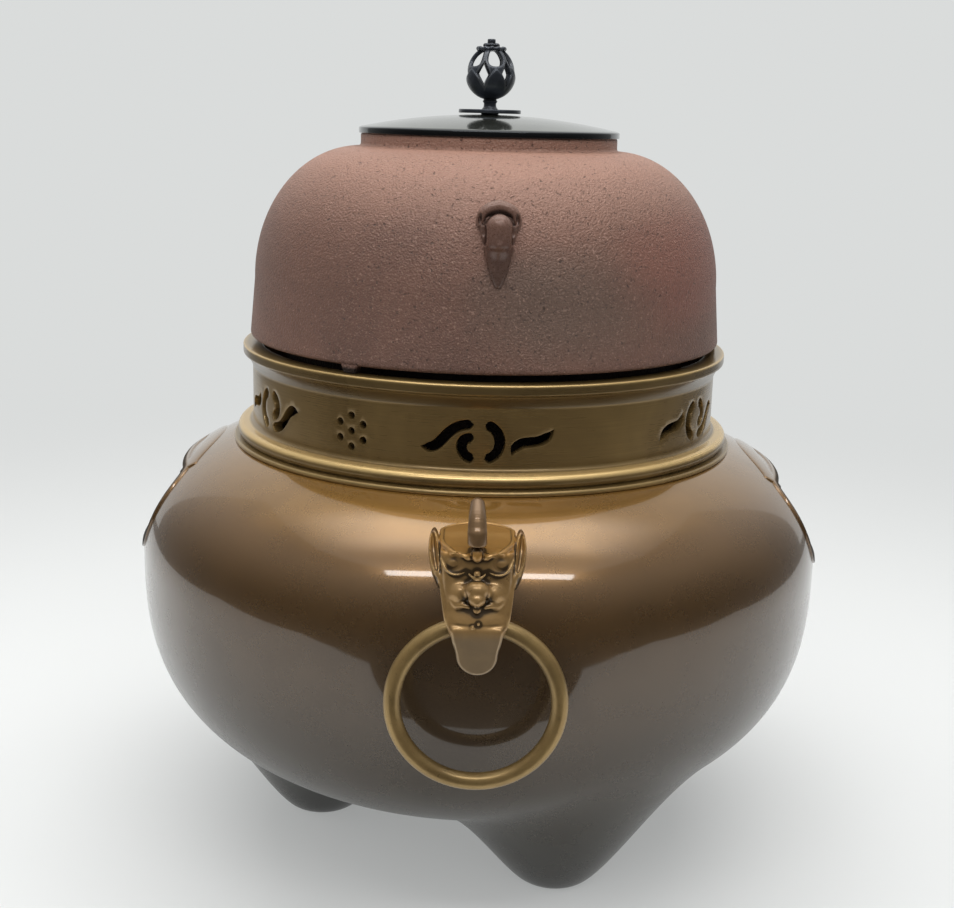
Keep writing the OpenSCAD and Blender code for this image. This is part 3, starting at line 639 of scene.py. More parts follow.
# Places round a window from its middle, each with the direction out of it: two like halves
def windowOutline():
    half, r = windowHalf, window["height"] / 2
    for run in np.linspace(0, 4 * half + 2 * math.pi * r, window["edgePoints"], endpoint=False):
        lap, s = divmod(run, 2 * half + math.pi * r)
        a, sign = math.pi / 2 + max(s - 2 * half, 0) / r, 1 - 2 * lap
        ny, nz = sign * math.cos(a), sign * math.sin(a)
        yield sign * (half - min(s, 2 * half)) + r * ny, r * nz, ny, nz


# Edge of a window through the wall, with a low rim round it
def windowEdge(side):
    lift, wide, wall = window["edgeOut"], window["edge"], bowl["wall"]
    section = [(wide + 0.3, -0.5), (wide, 0.1), (wide - 0.2, lift * 0.7), (wide - 0.6, lift),
               (wide / 2, lift * 1.03), (0.6, lift), (0.15, lift * 0.7), (0.0, lift - 0.7),
               (0.0, -wall + 0.6), (0.35, -wall - 0.1), (1.6, -wall - 0.25)]
    rows = [[onShoulder(y + ny * b, window["middle"] + z + nz * b, side, n) for b, n in section]
            for y, z, ny, nz in windowOutline()]
    return skinOf(rows, side, bowlBronze, True)


# Raised brow over a window: a round bar laid along an arch, swelling at both ends
def windowBrow(side):
    reach, end = window["browReach"], window["browEnd"]
    endZ = window["middle"] + window["height"] / 2 + window["browClear"]
    rise = seatZ - window["browDrop"] - endZ
    r = (reach ** 2 + rise ** 2) / (2 * rise)
    span = math.asin(reach / r)
    rows = []
    for t in np.linspace(-1, 1, window["browRows"]):
        past = max(abs(t) - 1 + end, 0) / end
        bulb = 1 + window["browSwell"] * math.exp(-((1 - abs(t)) / 0.05) ** 2)
        close = math.sqrt(max(1 - past ** 2, 0)) if past else 1
        wide = window["browWidth"] / 2 * bulb * close
        lift = window["browOut"] * (0.85 + 0.3 * (bulb - 1)) * max(close, 0.02)
        a = span * t * window["browPast"]
        row = []
        for b in np.linspace(0, math.pi, window["browSides"] + 1):
            off = wide * math.copysign(abs(math.cos(b)) ** 0.8, math.cos(b))
            y, z = (r + off) * math.sin(a), endZ + rise - r + (r + off) * math.cos(a)
            row.append(onShoulder(y, z, side, lift * math.sin(b) ** 0.7 - window["browSink"]))
        rows.append(row)
    return skinOf(rows, -side, bowlBronze, False)


def makeBowl():
    rows = bowl["lowRows"] + bowl["highRows"]
    skin = runTree(bowlTree(), **bowl, legSteep=1 / math.tan(math.radians(bowl["legAngle"])),
                   topAngle=math.acos((bowl["baseRadius"] / bowl["radius"]) ** (bowl["upper"] / 2)),
                   lowShare=bowl["lowRows"] / (rows - 1), Turns=bowl["turns"], Rows=rows, Finish=bowlBronze)
    liner = lathe(cavityProfile(), bowl["turns"], bowlBronze)
    for v in liner.vertices:  # wells down into the legs
        for legX, legY in legDirections():
            reach = math.hypot(v.co.x - bowl["footCircle"] * legX, v.co.y - bowl["footCircle"] * legY)
            if v.co.z < bowl["belly"]:
                along = max(0, reach - bowl["sole"] + bowl["wellIn"]) / bowl["wellRun"]
                v.co.z = min(v.co.z, bowl["soleWall"] + along * bowl["wellRise"])
    parts = [cutWindows(skin, 0.0), cutWindows(liner, -bowl["wall"])]
    for mesh, sign in zip(parts, (1, -1)):
        mesh.update()
        facing = sum(p.normal.dot(p.center - Vector((0, 0, bowl["belly"]))) * p.area for p in mesh.polygons)
        if facing * sign < 0:
            mesh.flip_normals()
    mesh = joined(parts + [make(side) for make in (windowEdge, windowBrow) for side in (-1, 1)], outwards=False)
    # Marks the windows' edges and jambs for painted shade
    at = pointsOf(mesh)
    sideways = np.abs(at[:, 0]) > window["sideways"]
    setAttribute(mesh, "soot", sideways & (windowDistance(at[:, 1], at[:, 2]) < window["edge"] - 0.2))
    return settle("bowlShell", mesh, sharp=32)


bowlShell = makeBowl()
print("bowl:", len(bowlShell.data.polygons), "faces")


# Neck

neck = dict(bore=109.5, radius=114.5, height=47.4, rimHeight=13.0, rimOut=4.5, spigot=113.0, spigotDepth=6.0,
            bead=1.2, band=3.2, fillet=2.4, edge=0.9, rimBand=4.4, hollow=6.4, stroke=4.5, dot=3.3, dotRing=7.0,
            bevel=0.5, wallGap=1.5, turns=240, levels=11, strokePoints=34, dotPoints=20, clearance=0.9,
            nearby=25.0, start=-75.0)
# One swirl: handles of each stroke, and the shares of its length over which its ends draw in
swirl = [([(-26.5, -3), (-16, -6), (-18, 8), (-3.6, 7.4)], 0.18, 0.06),
         ([(-3.6, 1.2), (-10.5, 3.4), (-10.5, -7.4), (-3.4, -7.5)], 0.07, 0.07),
         ([(1.3, 7.5), (9.8, 6), (9.8, -6.5), (1.2, -7.7)], 0.07, 0.07),
         ([(13, -5.8), (15.5, 4.6), (25, -4.6), (30.8, 5.4)], 0.18, 0.2)]


# Outline of one pierced stroke, drawn in towards its ends
def strokeLoop(handles, start, stop):
    t = np.linspace(0, 1, neck["strokePoints"] + 1)
    middle = bezier(handles, t)
    run = bezier(handles, t + 0.01) - bezier(handles, t - 0.01)
    run /= np.linalg.norm(run, axis=1)[:, None]
    draw = np.sin(np.minimum(t / start, 1) * math.pi / 2) * np.sin(np.minimum((1 - t) / stop, 1) * math.pi / 2)
    side = np.stack([-run[:, 1], run[:, 0]], 1) * (neck["stroke"] / 2 * draw)[:, None]
    return np.concatenate([middle + side, (middle - side)[-2:0:-1]])[::-1]


def dotLoop(x, y):
    a, r = np.linspace(0, 2 * math.pi, neck["dotPoints"], endpoint=False), neck["dot"] / 2
    return np.stack([x + r * np.cos(a), y + r * np.sin(a)], 1)


# Moves a closed loop outwards
def grown(loop, by):
    ahead = np.roll(loop, -1, 0) - np.roll(loop, 1, 0)
    ahead /= np.maximum(np.linalg.norm(ahead, axis=1), 1e-6)[:, None]
    area = np.sum(loop[:, 0] * np.roll(loop[:, 1], -1) - np.roll(loop[:, 0], -1) * loop[:, 1])
    return loop + np.stack([ahead[:, 1], -ahead[:, 0]], 1) * by * math.copysign(1, area)


def insideLoop(loop, spots):
    found = np.zeros(len(spots), bool)
    for a, b in zip(loop, np.roll(loop, -1, 0)):
        crosses = (a[1] > spots[:, 1]) != (b[1] > spots[:, 1])
        found ^= crosses & (spots[:, 0] < a[0] + (b[0] - a[0]) * (spots[:, 1] - a[1]) / (b[1] - a[1] + 1e-12))
    return found


# Pierced wall: a sheet cut along the openings, rolled up at two radii and joined through the openings
def piercedWall(low, high, middle):
    start, turns, stretch = neck["start"], neck["turns"], math.radians(1) * neck["radius"]
    loops = [(60 * k, strokeLoop(*stroke) * (-1) ** k) for k in range(6) for stroke in swirl]
    for turn in (-30, 90, 210):
        loops.append((turn, dotLoop(0, 0)))
        for a in np.radians(np.arange(0, 360, 60)):
            loops.append((turn, dotLoop(-neck["dotRing"] * math.sin(a), neck["dotRing"] * math.cos(a))))

    def unrolled(turn, loop):
        angles = np.degrees(np.arcsin(loop[:, 0] / neck["radius"]))
        return np.stack([angles + (turn - start) % 360 + start, loop[:, 1] + middle], 1)

    levels = np.linspace(low, high, neck["levels"])
    spots, edges, holes = [], [], []
    for j in (0, len(levels) - 1):
        first = len(spots)
        spots += [(start + 360 * i / turns, levels[j]) for i in range(turns + 1)]
        edges += [(first + i, first + i + 1) for i in range(turns)]
    for i in (0, turns):
        spots += [(start + 360 * i / turns, z) for z in levels[1:-1]]
    for turn, loop in loops:
        wide, first = unrolled(turn, grown(loop, neck["bevel"])), len(spots)
        holes.append((wide, first, turn, loop))
        spots += [tuple(p) for p in wide]
        edges += [(first + i, first + (i + 1) % len(wide)) for i in range(len(wide))]
    grid = np.array([(start + 360 * (i + 0.5 * (j % 2)) / turns, z)
                     for i in range(1, turns) for j, z in enumerate(levels[1:-1])])
    clear = np.ones(len(grid), bool)
    for wide, *_ in holes:
        near = np.abs(grid[:, 0] - wide[:, 0].mean()) < neck["nearby"]
        gap = np.full(len(grid), 9.0)
        some = grid[near]
        if len(some):
            apart = (some[:, None, :] - wide[None, :, :]) * np.array([stretch, 1])
            gap[near] = np.sqrt((apart ** 2).sum(2)).min(1)
        clear &= (gap > neck["clearance"]) & ~(near & insideLoop(wide, grid))
    spots += [tuple(p) for p in grid[clear]]
    flat = [Vector((p[0] * stretch, p[1])) for p in spots]
    sheet = delaunay_2d_cdt(flat, edges, [], 0, 1e-5)
    made, tris = np.array([tuple(v) for v in sheet[0]]) / np.array([stretch, 1]), sheet[2]
    lookup = {old: new for new, olds in enumerate(sheet[3]) for old in olds}
    centres = np.array([made[list(t)].mean(0) for t in tris])
    solid = np.ones(len(tris), bool)
    for wide, *_ in holes:
        solid &= ~insideLoop(wide, centres)
    tris = [t for t, keep in zip(tris, solid) if keep]

    def rolled(angles, heights, radius):
        a = np.radians(angles)
        return np.stack([radius * np.sin(a), -radius * np.cos(a), heights], 1)

    points = [rolled(made[:, 0], made[:, 1], neck[k]) for k in ("radius", "bore")]
    faces = tris + [tuple(i + len(made) for i in reversed(t)) for t in tris]
    total = 2 * len(made)
    b = neck["bevel"]
    steps = [(b * 0.3, neck["radius"] - b * 0.25), (0.0, neck["radius"] - b),
             (0.0, neck["bore"] + b), (b * 0.3, neck["bore"] + b * 0.25)]
    for _, first, turn, loop in holes:
        n = len(loop)
        rows = [[lookup[first + i] for i in range(n)]]
        for by, radius in steps:
            at = unrolled(turn, grown(loop, by))
            points.append(rolled(at[:, 0], at[:, 1], radius))
            rows.append(list(range(total, total + n)))
            total += n
        rows.append([lookup[first + i] + len(made) for i in range(n)])
        for upper, lower in zip(rows, rows[1:]):
            faces += [(upper[i], upper[(i + 1) % n], lower[(i + 1) % n], lower[i]) for i in range(n)]
    return meshOf(np.concatenate(points), faces, neckBronze)


def makeNeck():
    r, bore, h, rim = neck["radius"], neck["bore"], neck["height"], neck["height"] - neck["rimHeight"]
    bead, band, edge = neck["bead"], neck["band"], neck["edge"]
    baseR, rimR = bowl["baseRadius"], r + neck["rimOut"]
    footTop, fillet, wallHigh = 2 * bead + 2 * band, neck["fillet"], rim - neck["wallGap"]
    wallLow = footTop + fillet
    spigot, deep = neck["spigot"], -neck["spigotDepth"]
    foot = line((bore, wallLow), (bore, deep), 8) + [(spigot, deep), (spigot, 0)]
    foot += arc(baseR - bead, bead, bead, -90, 90, 12)
    foot += [(baseR - bead - 1.4, 2 * bead + 0.05)]
    foot += arc(baseR - band - 2, footTop - band, band, -62, 90, 20)
    foot += arc(r + fillet, wallLow, fillet, -90, -180, 10)
    bandLow, hollowLow = h - neck["rimBand"], h - neck["rimBand"] - neck["hollow"]
    hollow = [(r, hollowLow), (r + 0.5, hollowLow + 1.6), (rimR - 2.0, bandLow - 0.6), (rimR - 0.8, bandLow - 0.3)]
    lip = line((r, wallHigh), (r, hollowLow), 4) + [tuple(p) for p in bezier(hollow, np.linspace(0, 1, 10)[1:])]
    lip += arc(rimR - 0.8, bandLow + 0.5, 0.8, -90, 0, 6) + line((rimR, bandLow + 0.5), (rimR, h - edge), 4)[1:-1]
    lip += arc(rimR - edge, h - edge, edge, 0, 90, 12)
    lip += line((rimR - edge, h), (bore + 1, h), 4)[1:-1] + arc(bore + 1, h - 1, 1, 90, 180, 6)
    lip += line((bore, h - 1), (bore, wallHigh), 8)[1:]
    shift = [[(p[0], p[1] + seatZ) for p in part] for part in (foot, lip)]
    middle = seatZ + (rim + baseR - r) / 2
    wall = piercedWall(seatZ + wallLow, seatZ + wallHigh, middle)
    mesh = joined([wall] + [lathe(part, neck["turns"], neckBronze) for part in shift], gap=0.02)
    at = pointsOf(mesh)
    far, z = np.hypot(at[:, 0], at[:, 1]), at[:, 2] - seatZ
    # Worn edges and painted highlights: a thin bright line on the rim's top edge, the crest of the foot's band and a
    # dim line on the bead
    wear = np.clip((far - rimR + 1.4) / 1.4, 0, 1) * np.clip((z - h + 1.0) / 0.8, 0, 1)
    crest = np.clip((z - footTop + 2.6) / 1.4, 0, 1) * np.clip((far - r - fillet / 2) / 1.2, 0, 1)
    beadWearAndSheen = 0.25 * np.clip((far - baseR + 1.0) / 0.8, 0, 1)
    wear = np.maximum(wear, np.maximum(crest * (z < footTop + 0.2), beadWearAndSheen))
    setAttribute(mesh, "wear", wear)
    return settle("neckBand", mesh, sharp=30)


neckBand = makeNeck()
print("neck:", len(neckBand.data.polygons), "faces")


# Kettle

kettle = dict(mouth=62.0, mouthHeight=6.0, side=113.0, shoulder=63.0, sideHeight=28.1, skirtOut=2.3, skirtRound=2.2,
              throat=1.4, footHeight=3.4, footWidth=9.0, footDepth=4.6, footIn=1.2, footTurn=-33, pot=98.0,
              potHeight=82.4, potRound=42.0, wall=4.5, turn=2.5, turns=288)
rimZ = seatZ + neck["height"]
skirtZ = rimZ + kettle["footHeight"]
sideZ = skirtZ + kettle["sideHeight"]
kettleTop = sideZ + kettle["shoulder"] + kettle["mouthHeight"]


def makeKettle():
    m, s, w, sh = kettle["mouth"], kettle["side"], kettle["wall"], kettle["shoulder"]
    inner = m - w
    skirtR, pot, potR = s + kettle["skirtOut"], kettle["pot"], kettle["potRound"]
    potZ, throat, bend = skirtZ - kettle["potHeight"], kettle["throat"], kettle["skirtRound"]
    throatZ = sideZ + sh + throat
    outline = arc(inner + 1, kettleTop - 1, 1, 180, 90, 5) + arc(m - 1, kettleTop - 1, 1, 90, 0, 5)
    outline += line((m, kettleTop - 1), (m, throatZ), 4)[1:] + arc(m + throat, throatZ, throat, 180, 270, 6)[1:]
    for a in np.linspace(0, math.pi / 2, 71)[3:]:
        outline.append((m + (s - m) * math.sin(a), sideZ + sh * math.cos(a)))
    outline += line(outline[-1], (skirtR, skirtZ + bend), 16)[1:]
    outline += arc(skirtR - bend, skirtZ + bend, bend, 0, -90, 8)[1:]
    outline += line((skirtR - bend, skirtZ), (pot, skirtZ), 8)[1:] + line((pot, skirtZ), (pot, potZ + potR), 14)[1:]
    outline += arc(pot - potR, potZ + potR, potR, 0, -90, 24)[1:] + line((pot - potR, potZ), (0, potZ), 14)[1:]
    outline += line((0, potZ + w), (pot - potR, potZ + w), 10) + arc(pot - potR, potZ + potR, potR - w, -90, 0, 18)[1:]
    outline += [(pot - w, skirtZ + w), (s - w, skirtZ + w)]
    for a in np.linspace(math.pi / 2, 0, 41):
        outline.append((inner + (s - w - inner) * math.sin(a), sideZ + (sh - w) * math.cos(a)))
    body = turnedSolid(outline, kettle["turns"], kettleIron)
    return settle("kettleBody", joined([body, footRun()], outwards=False), sharp=40)


# Three small feet under the skirt, one block set round the axis
def footTree():
    graph, given = newTree("footRule", [
        ("Block", "Object"), ("Count", "Int"), ("Turn", "Float"), ("Finish", "Material")])
    spots = graph.add("GeometryNodeMeshLine", {"mode": "OFFSET"}, {
        "Count": given["Count"], "Offset": (0.0, 0.0, 0.0)})
    block = graph.add("GeometryNodeObjectInfo", {}, {"Object": given["Block"], "As Instance": True}, "Geometry")
    angle = graph.add("GeometryNodeInputIndex") / given["Count"] * (2 * math.pi) + given["Turn"]
    spin = graph.add("ShaderNodeCombineXYZ", {}, [0.0, 0.0, angle])
    placed = graph.add("GeometryNodeInstanceOnPoints", {}, {"Points": spots, "Instance": block, "Rotation": spin})
    return endTree(graph, placed, given["Finish"])


def footRun():
    half, high, deep = kettle["footWidth"] / 2, kettle["footHeight"] + 1, kettle["footDepth"]
    near = -neck["bore"] - kettle["footIn"]
    shape = bmesh.new()
    section = [(-half + 1.5, 0), (half - 1.5, 0), (half, high), (-half, high)]
    corners = [[shape.verts.new((x, near - d, rimZ + z)) for x, z in section] for d in (0, deep)]
    shape.faces.new(corners[0])
    shape.faces.new(corners[1][::-1])
    for i in range(4):
        shape.faces.new((corners[0][i], corners[1][i], corners[1][(i + 1) % 4], corners[0][(i + 1) % 4]))
    bmesh.ops.bevel(shape, geom=list(shape.edges), offset=0.6, segments=3, affect="EDGES")
    bmesh.ops.recalc_face_normals(shape, faces=shape.faces)
    mesh = bpy.data.meshes.new("footBlock")
    shape.to_mesh(mesh)
    shape.free()
    block = newObject("footBlock", mesh)
    turn = math.radians(kettle["turn"] + kettle["footTurn"])
    made = runTree(footTree(), Block=block, Count=3, Turn=turn, Finish=kettleIron)
    bpy.data.objects.remove(block)
    return made


kettleBody = makeKettle()
print("kettle:", len(kettleBody.data.polygons), "faces")


# Lid and the disc under its knob

lid = dict(out=1.0, edge=3.0, dome=6.9, wall=2.6, ringDepth=5.0, gap=0.6, turns=192,
           disc=30.0, discThick=1.8, discTurns=96, hub=0.6, tenon=5.0, play=0.2, stem=6.4)
lidR = kettle["mouth"] + lid["out"]
lidTop = kettleTop + lid["edge"] + lid["dome"]
tenonHole = lid["tenon"] / 2 + lid["play"]


def makeLid():
    ringOut = kettle["mouth"] - kettle["wall"] - lid["gap"]
    ringIn, hole = ringOut - lid["wall"], tenonHole

    def domeZ(r):
        return lidTop - lid["dome"] * (r / lidR) ** 2

    outline = arc(lidR - 0.4, kettleTop + 0.4, 0.4, -90, 0, 4)
    outline += arc(lidR - 0.8, kettleTop + lid["edge"] - 0.8, 0.8, 0, 72, 6)
    outline += [(r, domeZ(r)) for r in np.linspace(lidR - 1.2, hole, 40)]
    outline += [(hole, lidTop - lid["wall"])]
    outline += [(r, domeZ(r) - lid["wall"]) for r in np.linspace(hole + 5, ringIn, 24)]
    outline += [(ringIn, kettleTop - lid["ringDepth"]), (ringOut, kettleTop - lid["ringDepth"]), (ringOut, kettleTop)]
    return settle("lidDome", turnedSolid(outline, lid["turns"], lidBronze), sharp=40)


def makeDisc():
    hole, hub = tenonHole, lid["stem"] / 2 + 1.4
    r, h, t = lid["disc"] / 2, lid["hub"], lid["discThick"]
    outline = [(hole, 0), (hub + 0.3, 0)] + arc(hub + 0.5, h - 0.5, 0.9, 200, 100, 6)
    outline += [(r - 0.4, h)] + arc(r - 0.35, h + 0.35, 0.35, -90, 0, 3) + arc(r - 0.5, h + t - 0.5, 0.5, 0, 90, 4)
    outline += line((r - 0.5, h + t), (hole, h + t), 6)[1:]
    mesh = turnedSolid([(p[0], p[1] + lidTop) for p in outline], lid["discTurns"], knobBlack)
    at = pointsOf(mesh)
    setAttribute(mesh, "wear", 0.5 + 0.2 * np.clip((np.hypot(at[:, 0], at[:, 1]) - r + 0.4) / 0.4, 0, 1))
    return settle("knobDisc", mesh, sharp=35)


lidDome = makeLid()
knobDisc = makeDisc()
print("lid:", len(lidDome.data.polygons), "faces")


# Carrying rings

ring = dict(radius=33.5, thick=7.0, hingeOut=178.0, hingeZ=169.0, turns=160, sides=36)


def ringTree():
    graph, given = newTree("ringRule", [
        ("Radius", "Float"), ("Thickness", "Float"), ("Turns", "Int"), ("Sides", "Int"),
        ("Middle", "Vector"), ("Finish", "Material")])
    path, bar = (graph.add("GeometryNodeCurvePrimitiveCircle", {"mode": "RADIUS"}, {"Resolution": count, 4: size})
                 for count, size in ((given["Turns"], given["Radius"]), (given["Sides"], given["Thickness"] / 2)))
    tube = graph.add("GeometryNodeCurveToMesh", {}, {"Curve": path, "Profile Curve": bar})
    upright = graph.add("GeometryNodeTransform", {}, {
        "Geometry": tube, "Translation": given["Middle"], "Rotation": (math.pi / 2, 0.0, 0.0)})
    return endTree(graph, upright, given["Finish"])


ringRule = ringTree()


def makeRing(name, side):
    middle = (0.0, -ring["hingeOut"] * side, ring["hingeZ"] - ring["radius"])
    mesh = joined([runTree(ringRule, Radius=ring["radius"], Thickness=ring["thick"], Turns=ring["turns"],
                           Sides=ring["sides"], Middle=middle, Finish=ringBrass)])
    at = pointsOf(mesh) - np.array(middle)
    far = np.hypot(at[:, 0], at[:, 2])
    setAttribute(mesh, "wear", np.clip((far - ring["radius"]) / ring["thick"] + 0.5, 0, 1))
    return settle(name, mesh, sharp=60)


ringFront = makeRing("ringFront", 1)
ringRear = makeRing("ringRear", -1)
print("rings:", len(ringFront.data.polygons), "faces each")


# Sculpted pieces are written as distances from their surface, negative inside

def ball(p, middle, radius):
    return np.linalg.norm(p - np.array(middle), axis=-1) - radius


def egg(p, middle, radii):
    q = p - np.array(middle)
    near, steep = (np.linalg.norm(q / np.array(radii) ** n, axis=-1) for n in (1, 2))
    return near * (near - 1) / np.maximum(steep, 1e-6)


def rod(p, a, b, thickA, thickB):
    a, b = np.array(a, float), np.array(b, float)
    t = np.clip((p - a) @ (b - a) / ((b - a) @ (b - a)), 0, 1)
    return np.linalg.norm(p - a - t[..., None] * (b - a), axis=-1) - (thickA + (thickB - thickA) * t)


# Smoothly bent round wire through points, each given as x, out, z and thickness
def wire(p, stops, n=5):
    at = np.arange(len(stops))
    fine = np.linspace(0, len(stops) - 1, n * (len(stops) - 1) + 1)
    rows = np.array([np.interp(fine, at, [s[i] for s in stops]) for i in range(4)]).T
    for _ in range(n):
        rows[1:-1] = (rows[:-2] + 2 * rows[1:-1] + rows[2:]) / 4
    return np.minimum.reduce([rod(p, a[:3], b[:3], a[3], b[3]) for a, b in zip(rows, rows[1:])])


# Union and cut with a fillet of the given size
def melt(a, b, soft):
    h = np.clip(0.5 + 0.5 * (b - a) / soft, 0, 1)
    return b * (1 - h) + a * h - soft * h * (1 - h)


def carve(a, b, soft):
    return -melt(-a, b, soft)


def both(a, b, soft):
    return -melt(-a, -b, soft)


# Adds forms to a sculpture: how each joins, its fillet, whether both sides have it, its kind and sizes.
# The points m are the points p folded onto one side.
def built(d, p, m, forms):
    for join, soft, paired, form, *sizes in forms:
        d = join(d, form(m if paired else p, *sizes), soft)
    return d


# The deep reach sets the painted shade in deep recesses
wearAndShadeReach = dict(near=1.1, deep=3.2)  # millimetres over which hollows and crests are felt


# Quads on the surface where the distance is nought; the wear value is a half where flat, less in hollows, where it
# stands for patina and, in deep recesses, for painted shade, and more on crests
def sculpt(distance, low, high, step, material):
    low, high = np.array(low, float), np.array(high, float)
    size = np.ceil((high - low) / step).astype(int) + 1
    axes = [low[i] + step * np.arange(size[i]) for i in range(3)]
    field = np.empty(size)
    for i, x in enumerate(axes[0]):
        plane = np.stack(np.meshgrid([x], axes[1], axes[2], indexing="ij"), -1)
        field[i] = distance(plane)[0]
    inside = field < 0
    cells = size - 1
    total, count = np.zeros((*cells, 3)), np.zeros(cells)
    for axis in range(3):
        for u in (0, 1):
            for v in (0, 1):
                near = np.zeros(3, int)
                near[(axis + 1) % 3], near[(axis + 2) % 3] = u, v
                far = near.copy()
                far[axis] += 1
                a = field[tuple(slice(near[i], near[i] + cells[i]) for i in range(3))]
                b = field[tuple(slice(far[i], far[i] + cells[i]) for i in range(3))]
                cut = (a < 0) != (b < 0)
                share = np.where(cut, a / np.where(cut, a - b, 1), 0)
                count += cut
                for i in range(3):
                    total[..., i] += cut * near[i] + (share if i == axis else 0)
    used = count > 0
    names = np.full(cells, -1)
    names[used] = np.arange(used.sum())
    points = low + step * (np.argwhere(used) + total[used] / count[used][:, None])
    faces = []
    for axis in range(3):
        u, v = (axis + 1) % 3, (axis + 2) % 3
        first = tuple(slice(0, -1) if i == axis else slice(1, -1) for i in range(3))
        second = tuple(slice(1, None) if i == axis else slice(1, -1) for i in range(3))
        for spots, turned in ((inside[first] & ~inside[second], False), (~inside[first] & inside[second], True)):
            where = np.argwhere(spots)
            where[:, u] += 1
            where[:, v] += 1
            stepU, stepV = np.eye(3, dtype=int)[u], np.eye(3, dtype=int)[v]
            quad = [names[tuple((where - o).T)] for o in (stepU + stepV, stepV, 0 * stepU, stepU)]
            faces.append(np.stack(quad[::-1] if turned else quad, 1))

    def slope(p, reach=0.02):
        parts = [distance(p + reach * e) - distance(p - reach * e) for e in np.eye(3)]
        return np.stack(parts, -1) / (2 * reach)

    for _ in range(2):
        s = slope(points)
        points = points - np.clip(distance(points) / np.maximum((s * s).sum(1), 0.2), -step / 2, step / 2)[:, None] * s
    normal = slope(points, 0.3)
    normal /= np.maximum(np.linalg.norm(normal, axis=1), 1e-6)[:, None]
    near, far = wearAndShadeReach["near"], wearAndShadeReach["deep"]
    hollow = distance(points + near * normal) / near
    crest = -distance(points - near * normal) / near
    # Painted shade in deep recesses, like ambient occlusion
    deep = np.maximum(0.8 - distance(points + far * normal) / far, 0)
    mesh = meshOf(points, np.concatenate(faces), material)
    setAttribute(mesh, "wear", np.clip(0.5 + 0.9 * (1 - crest) - 1.1 * (1 - hollow) - 0.5 * deep, 0, 1))
    return mesh


# Front and rear piece from one sculpture, set out from the axis and up
def pairOf(names, shape, out, height, turn=0):
    shape.transform(Matrix(((1, 0, 0, 0), (0, -1, 0, -out), (0, 0, 1, height), (0, 0, 0, 1))))
    shape.flip_normals()
    pieces = []
    for name, mesh, half in zip(names, (shape, shape.copy()), (0, 180)):
        mesh.transform(Matrix.Rotation(math.radians(turn + half), 4, "Z"))
        pieces.append(settle(name, mesh, sharp=50))
    return pieces


# Masks: sculpted in millimetres from the middle of the ring's hinge line, with out away from the bowl

mask = dict(tunnel=7.2, crown=32.0, lean=0.02, step=0.42, low=(-22, -48, -20), high=(22, 18, 54))
faceForms = [
    # Eyes sunk under the lobes, each over a fine lid
    (carve, 1.2, True, egg, (9.3, 8.0, 26.6), (5.5, 4.8, 4.5)),
    (melt, 0.8, True, egg, (9.5, 2.0, 26.0), (3.3, 2.6, 2.7)),
    (melt, 1.0, True, wire, [(4.6, 6.5, 23.6, 0.2), (7.4, 6.6, 22.4, 0.35), (10.6, 5.9, 22.6, 0.4),
                             (13.2, 4.1, 25.2, 0.35), (14.2, 2.4, 27.6, 0.2)]),
    # Bump below the horn, small bump over a fold, two-part nose
    (melt, 0.6, False, egg, (0, 6.6, 30.6), (2.3, 2.3, 2.9)),
    (melt, 0.4, False, ball, (0, 7.3, 23.2), 1.35),
    (melt, 0.7, True, wire, [(0, 7.7, 21.4, 0.5), (1.8, 7.4, 21.8, 0.5), (3.2, 6.6, 23.0, 0.3)]),
    (melt, 1.2, False, egg, (0, 8.4, 17.0), (4.6, 4.4, 3.9)),
    (melt, 0.8, False, egg, (0, 10.6, 14.2), (3.4, 3.6, 3.0)),
    # Soft cheeks, nostrils curling round a hollow, bump over the lip
    (melt, 2.6, True, egg, (6.4, 5.9, 14.6), (3.3, 3.0, 3.6)),
    (melt, 1.3, True, wire, [(3.2, 9.2, 10.6, 0.9), (5.2, 8.4, 10.9, 1.1), (7.8, 7.4, 9.9, 0.9),
                             (9.2, 6.4, 11.4, 0.5)]),
    (carve, 0.8, True, egg, (6.2, 9.4, 8.3), (2.4, 1.9, 1.3)),
    (melt, 0.8, False, ball, (0, 10.4, 9.9), 1.6),
    (carve, 0.6, False, egg, (0, 11.4, 7.4), (1.9, 1.5, 1.0)),
    # Muzzle and lip
    (melt, 2.4, False, egg, (0, 4.8, 3.0), (11.2, 5.0, 5.4)),
    (melt, 2.2, True, wire, [(0, 8.9, 0.6, 0.4), (4.5, 9.2, -0.1, 0.6), (8.6, 7.9, 0.4, 0.8),
                             (11.2, 4.6, 2.2, 0.5)]),
    (melt, 0.6, False, ball, (-1.6, 10.4, 2.6), 0.6),
    (melt, 0.6, False, ball, (0.6, 10.6, 4.0), 0.6),
    # Edge along each side of the face
    (melt, 0.9, True, wire, [(14.0, 1.6, 20.0, 0.9), (13.2, 4.0, 13.0, 1.0), (12.2, 6.0, 6.0, 1.0),
                             (11.6, 6.2, 1.2, 0.6)])]


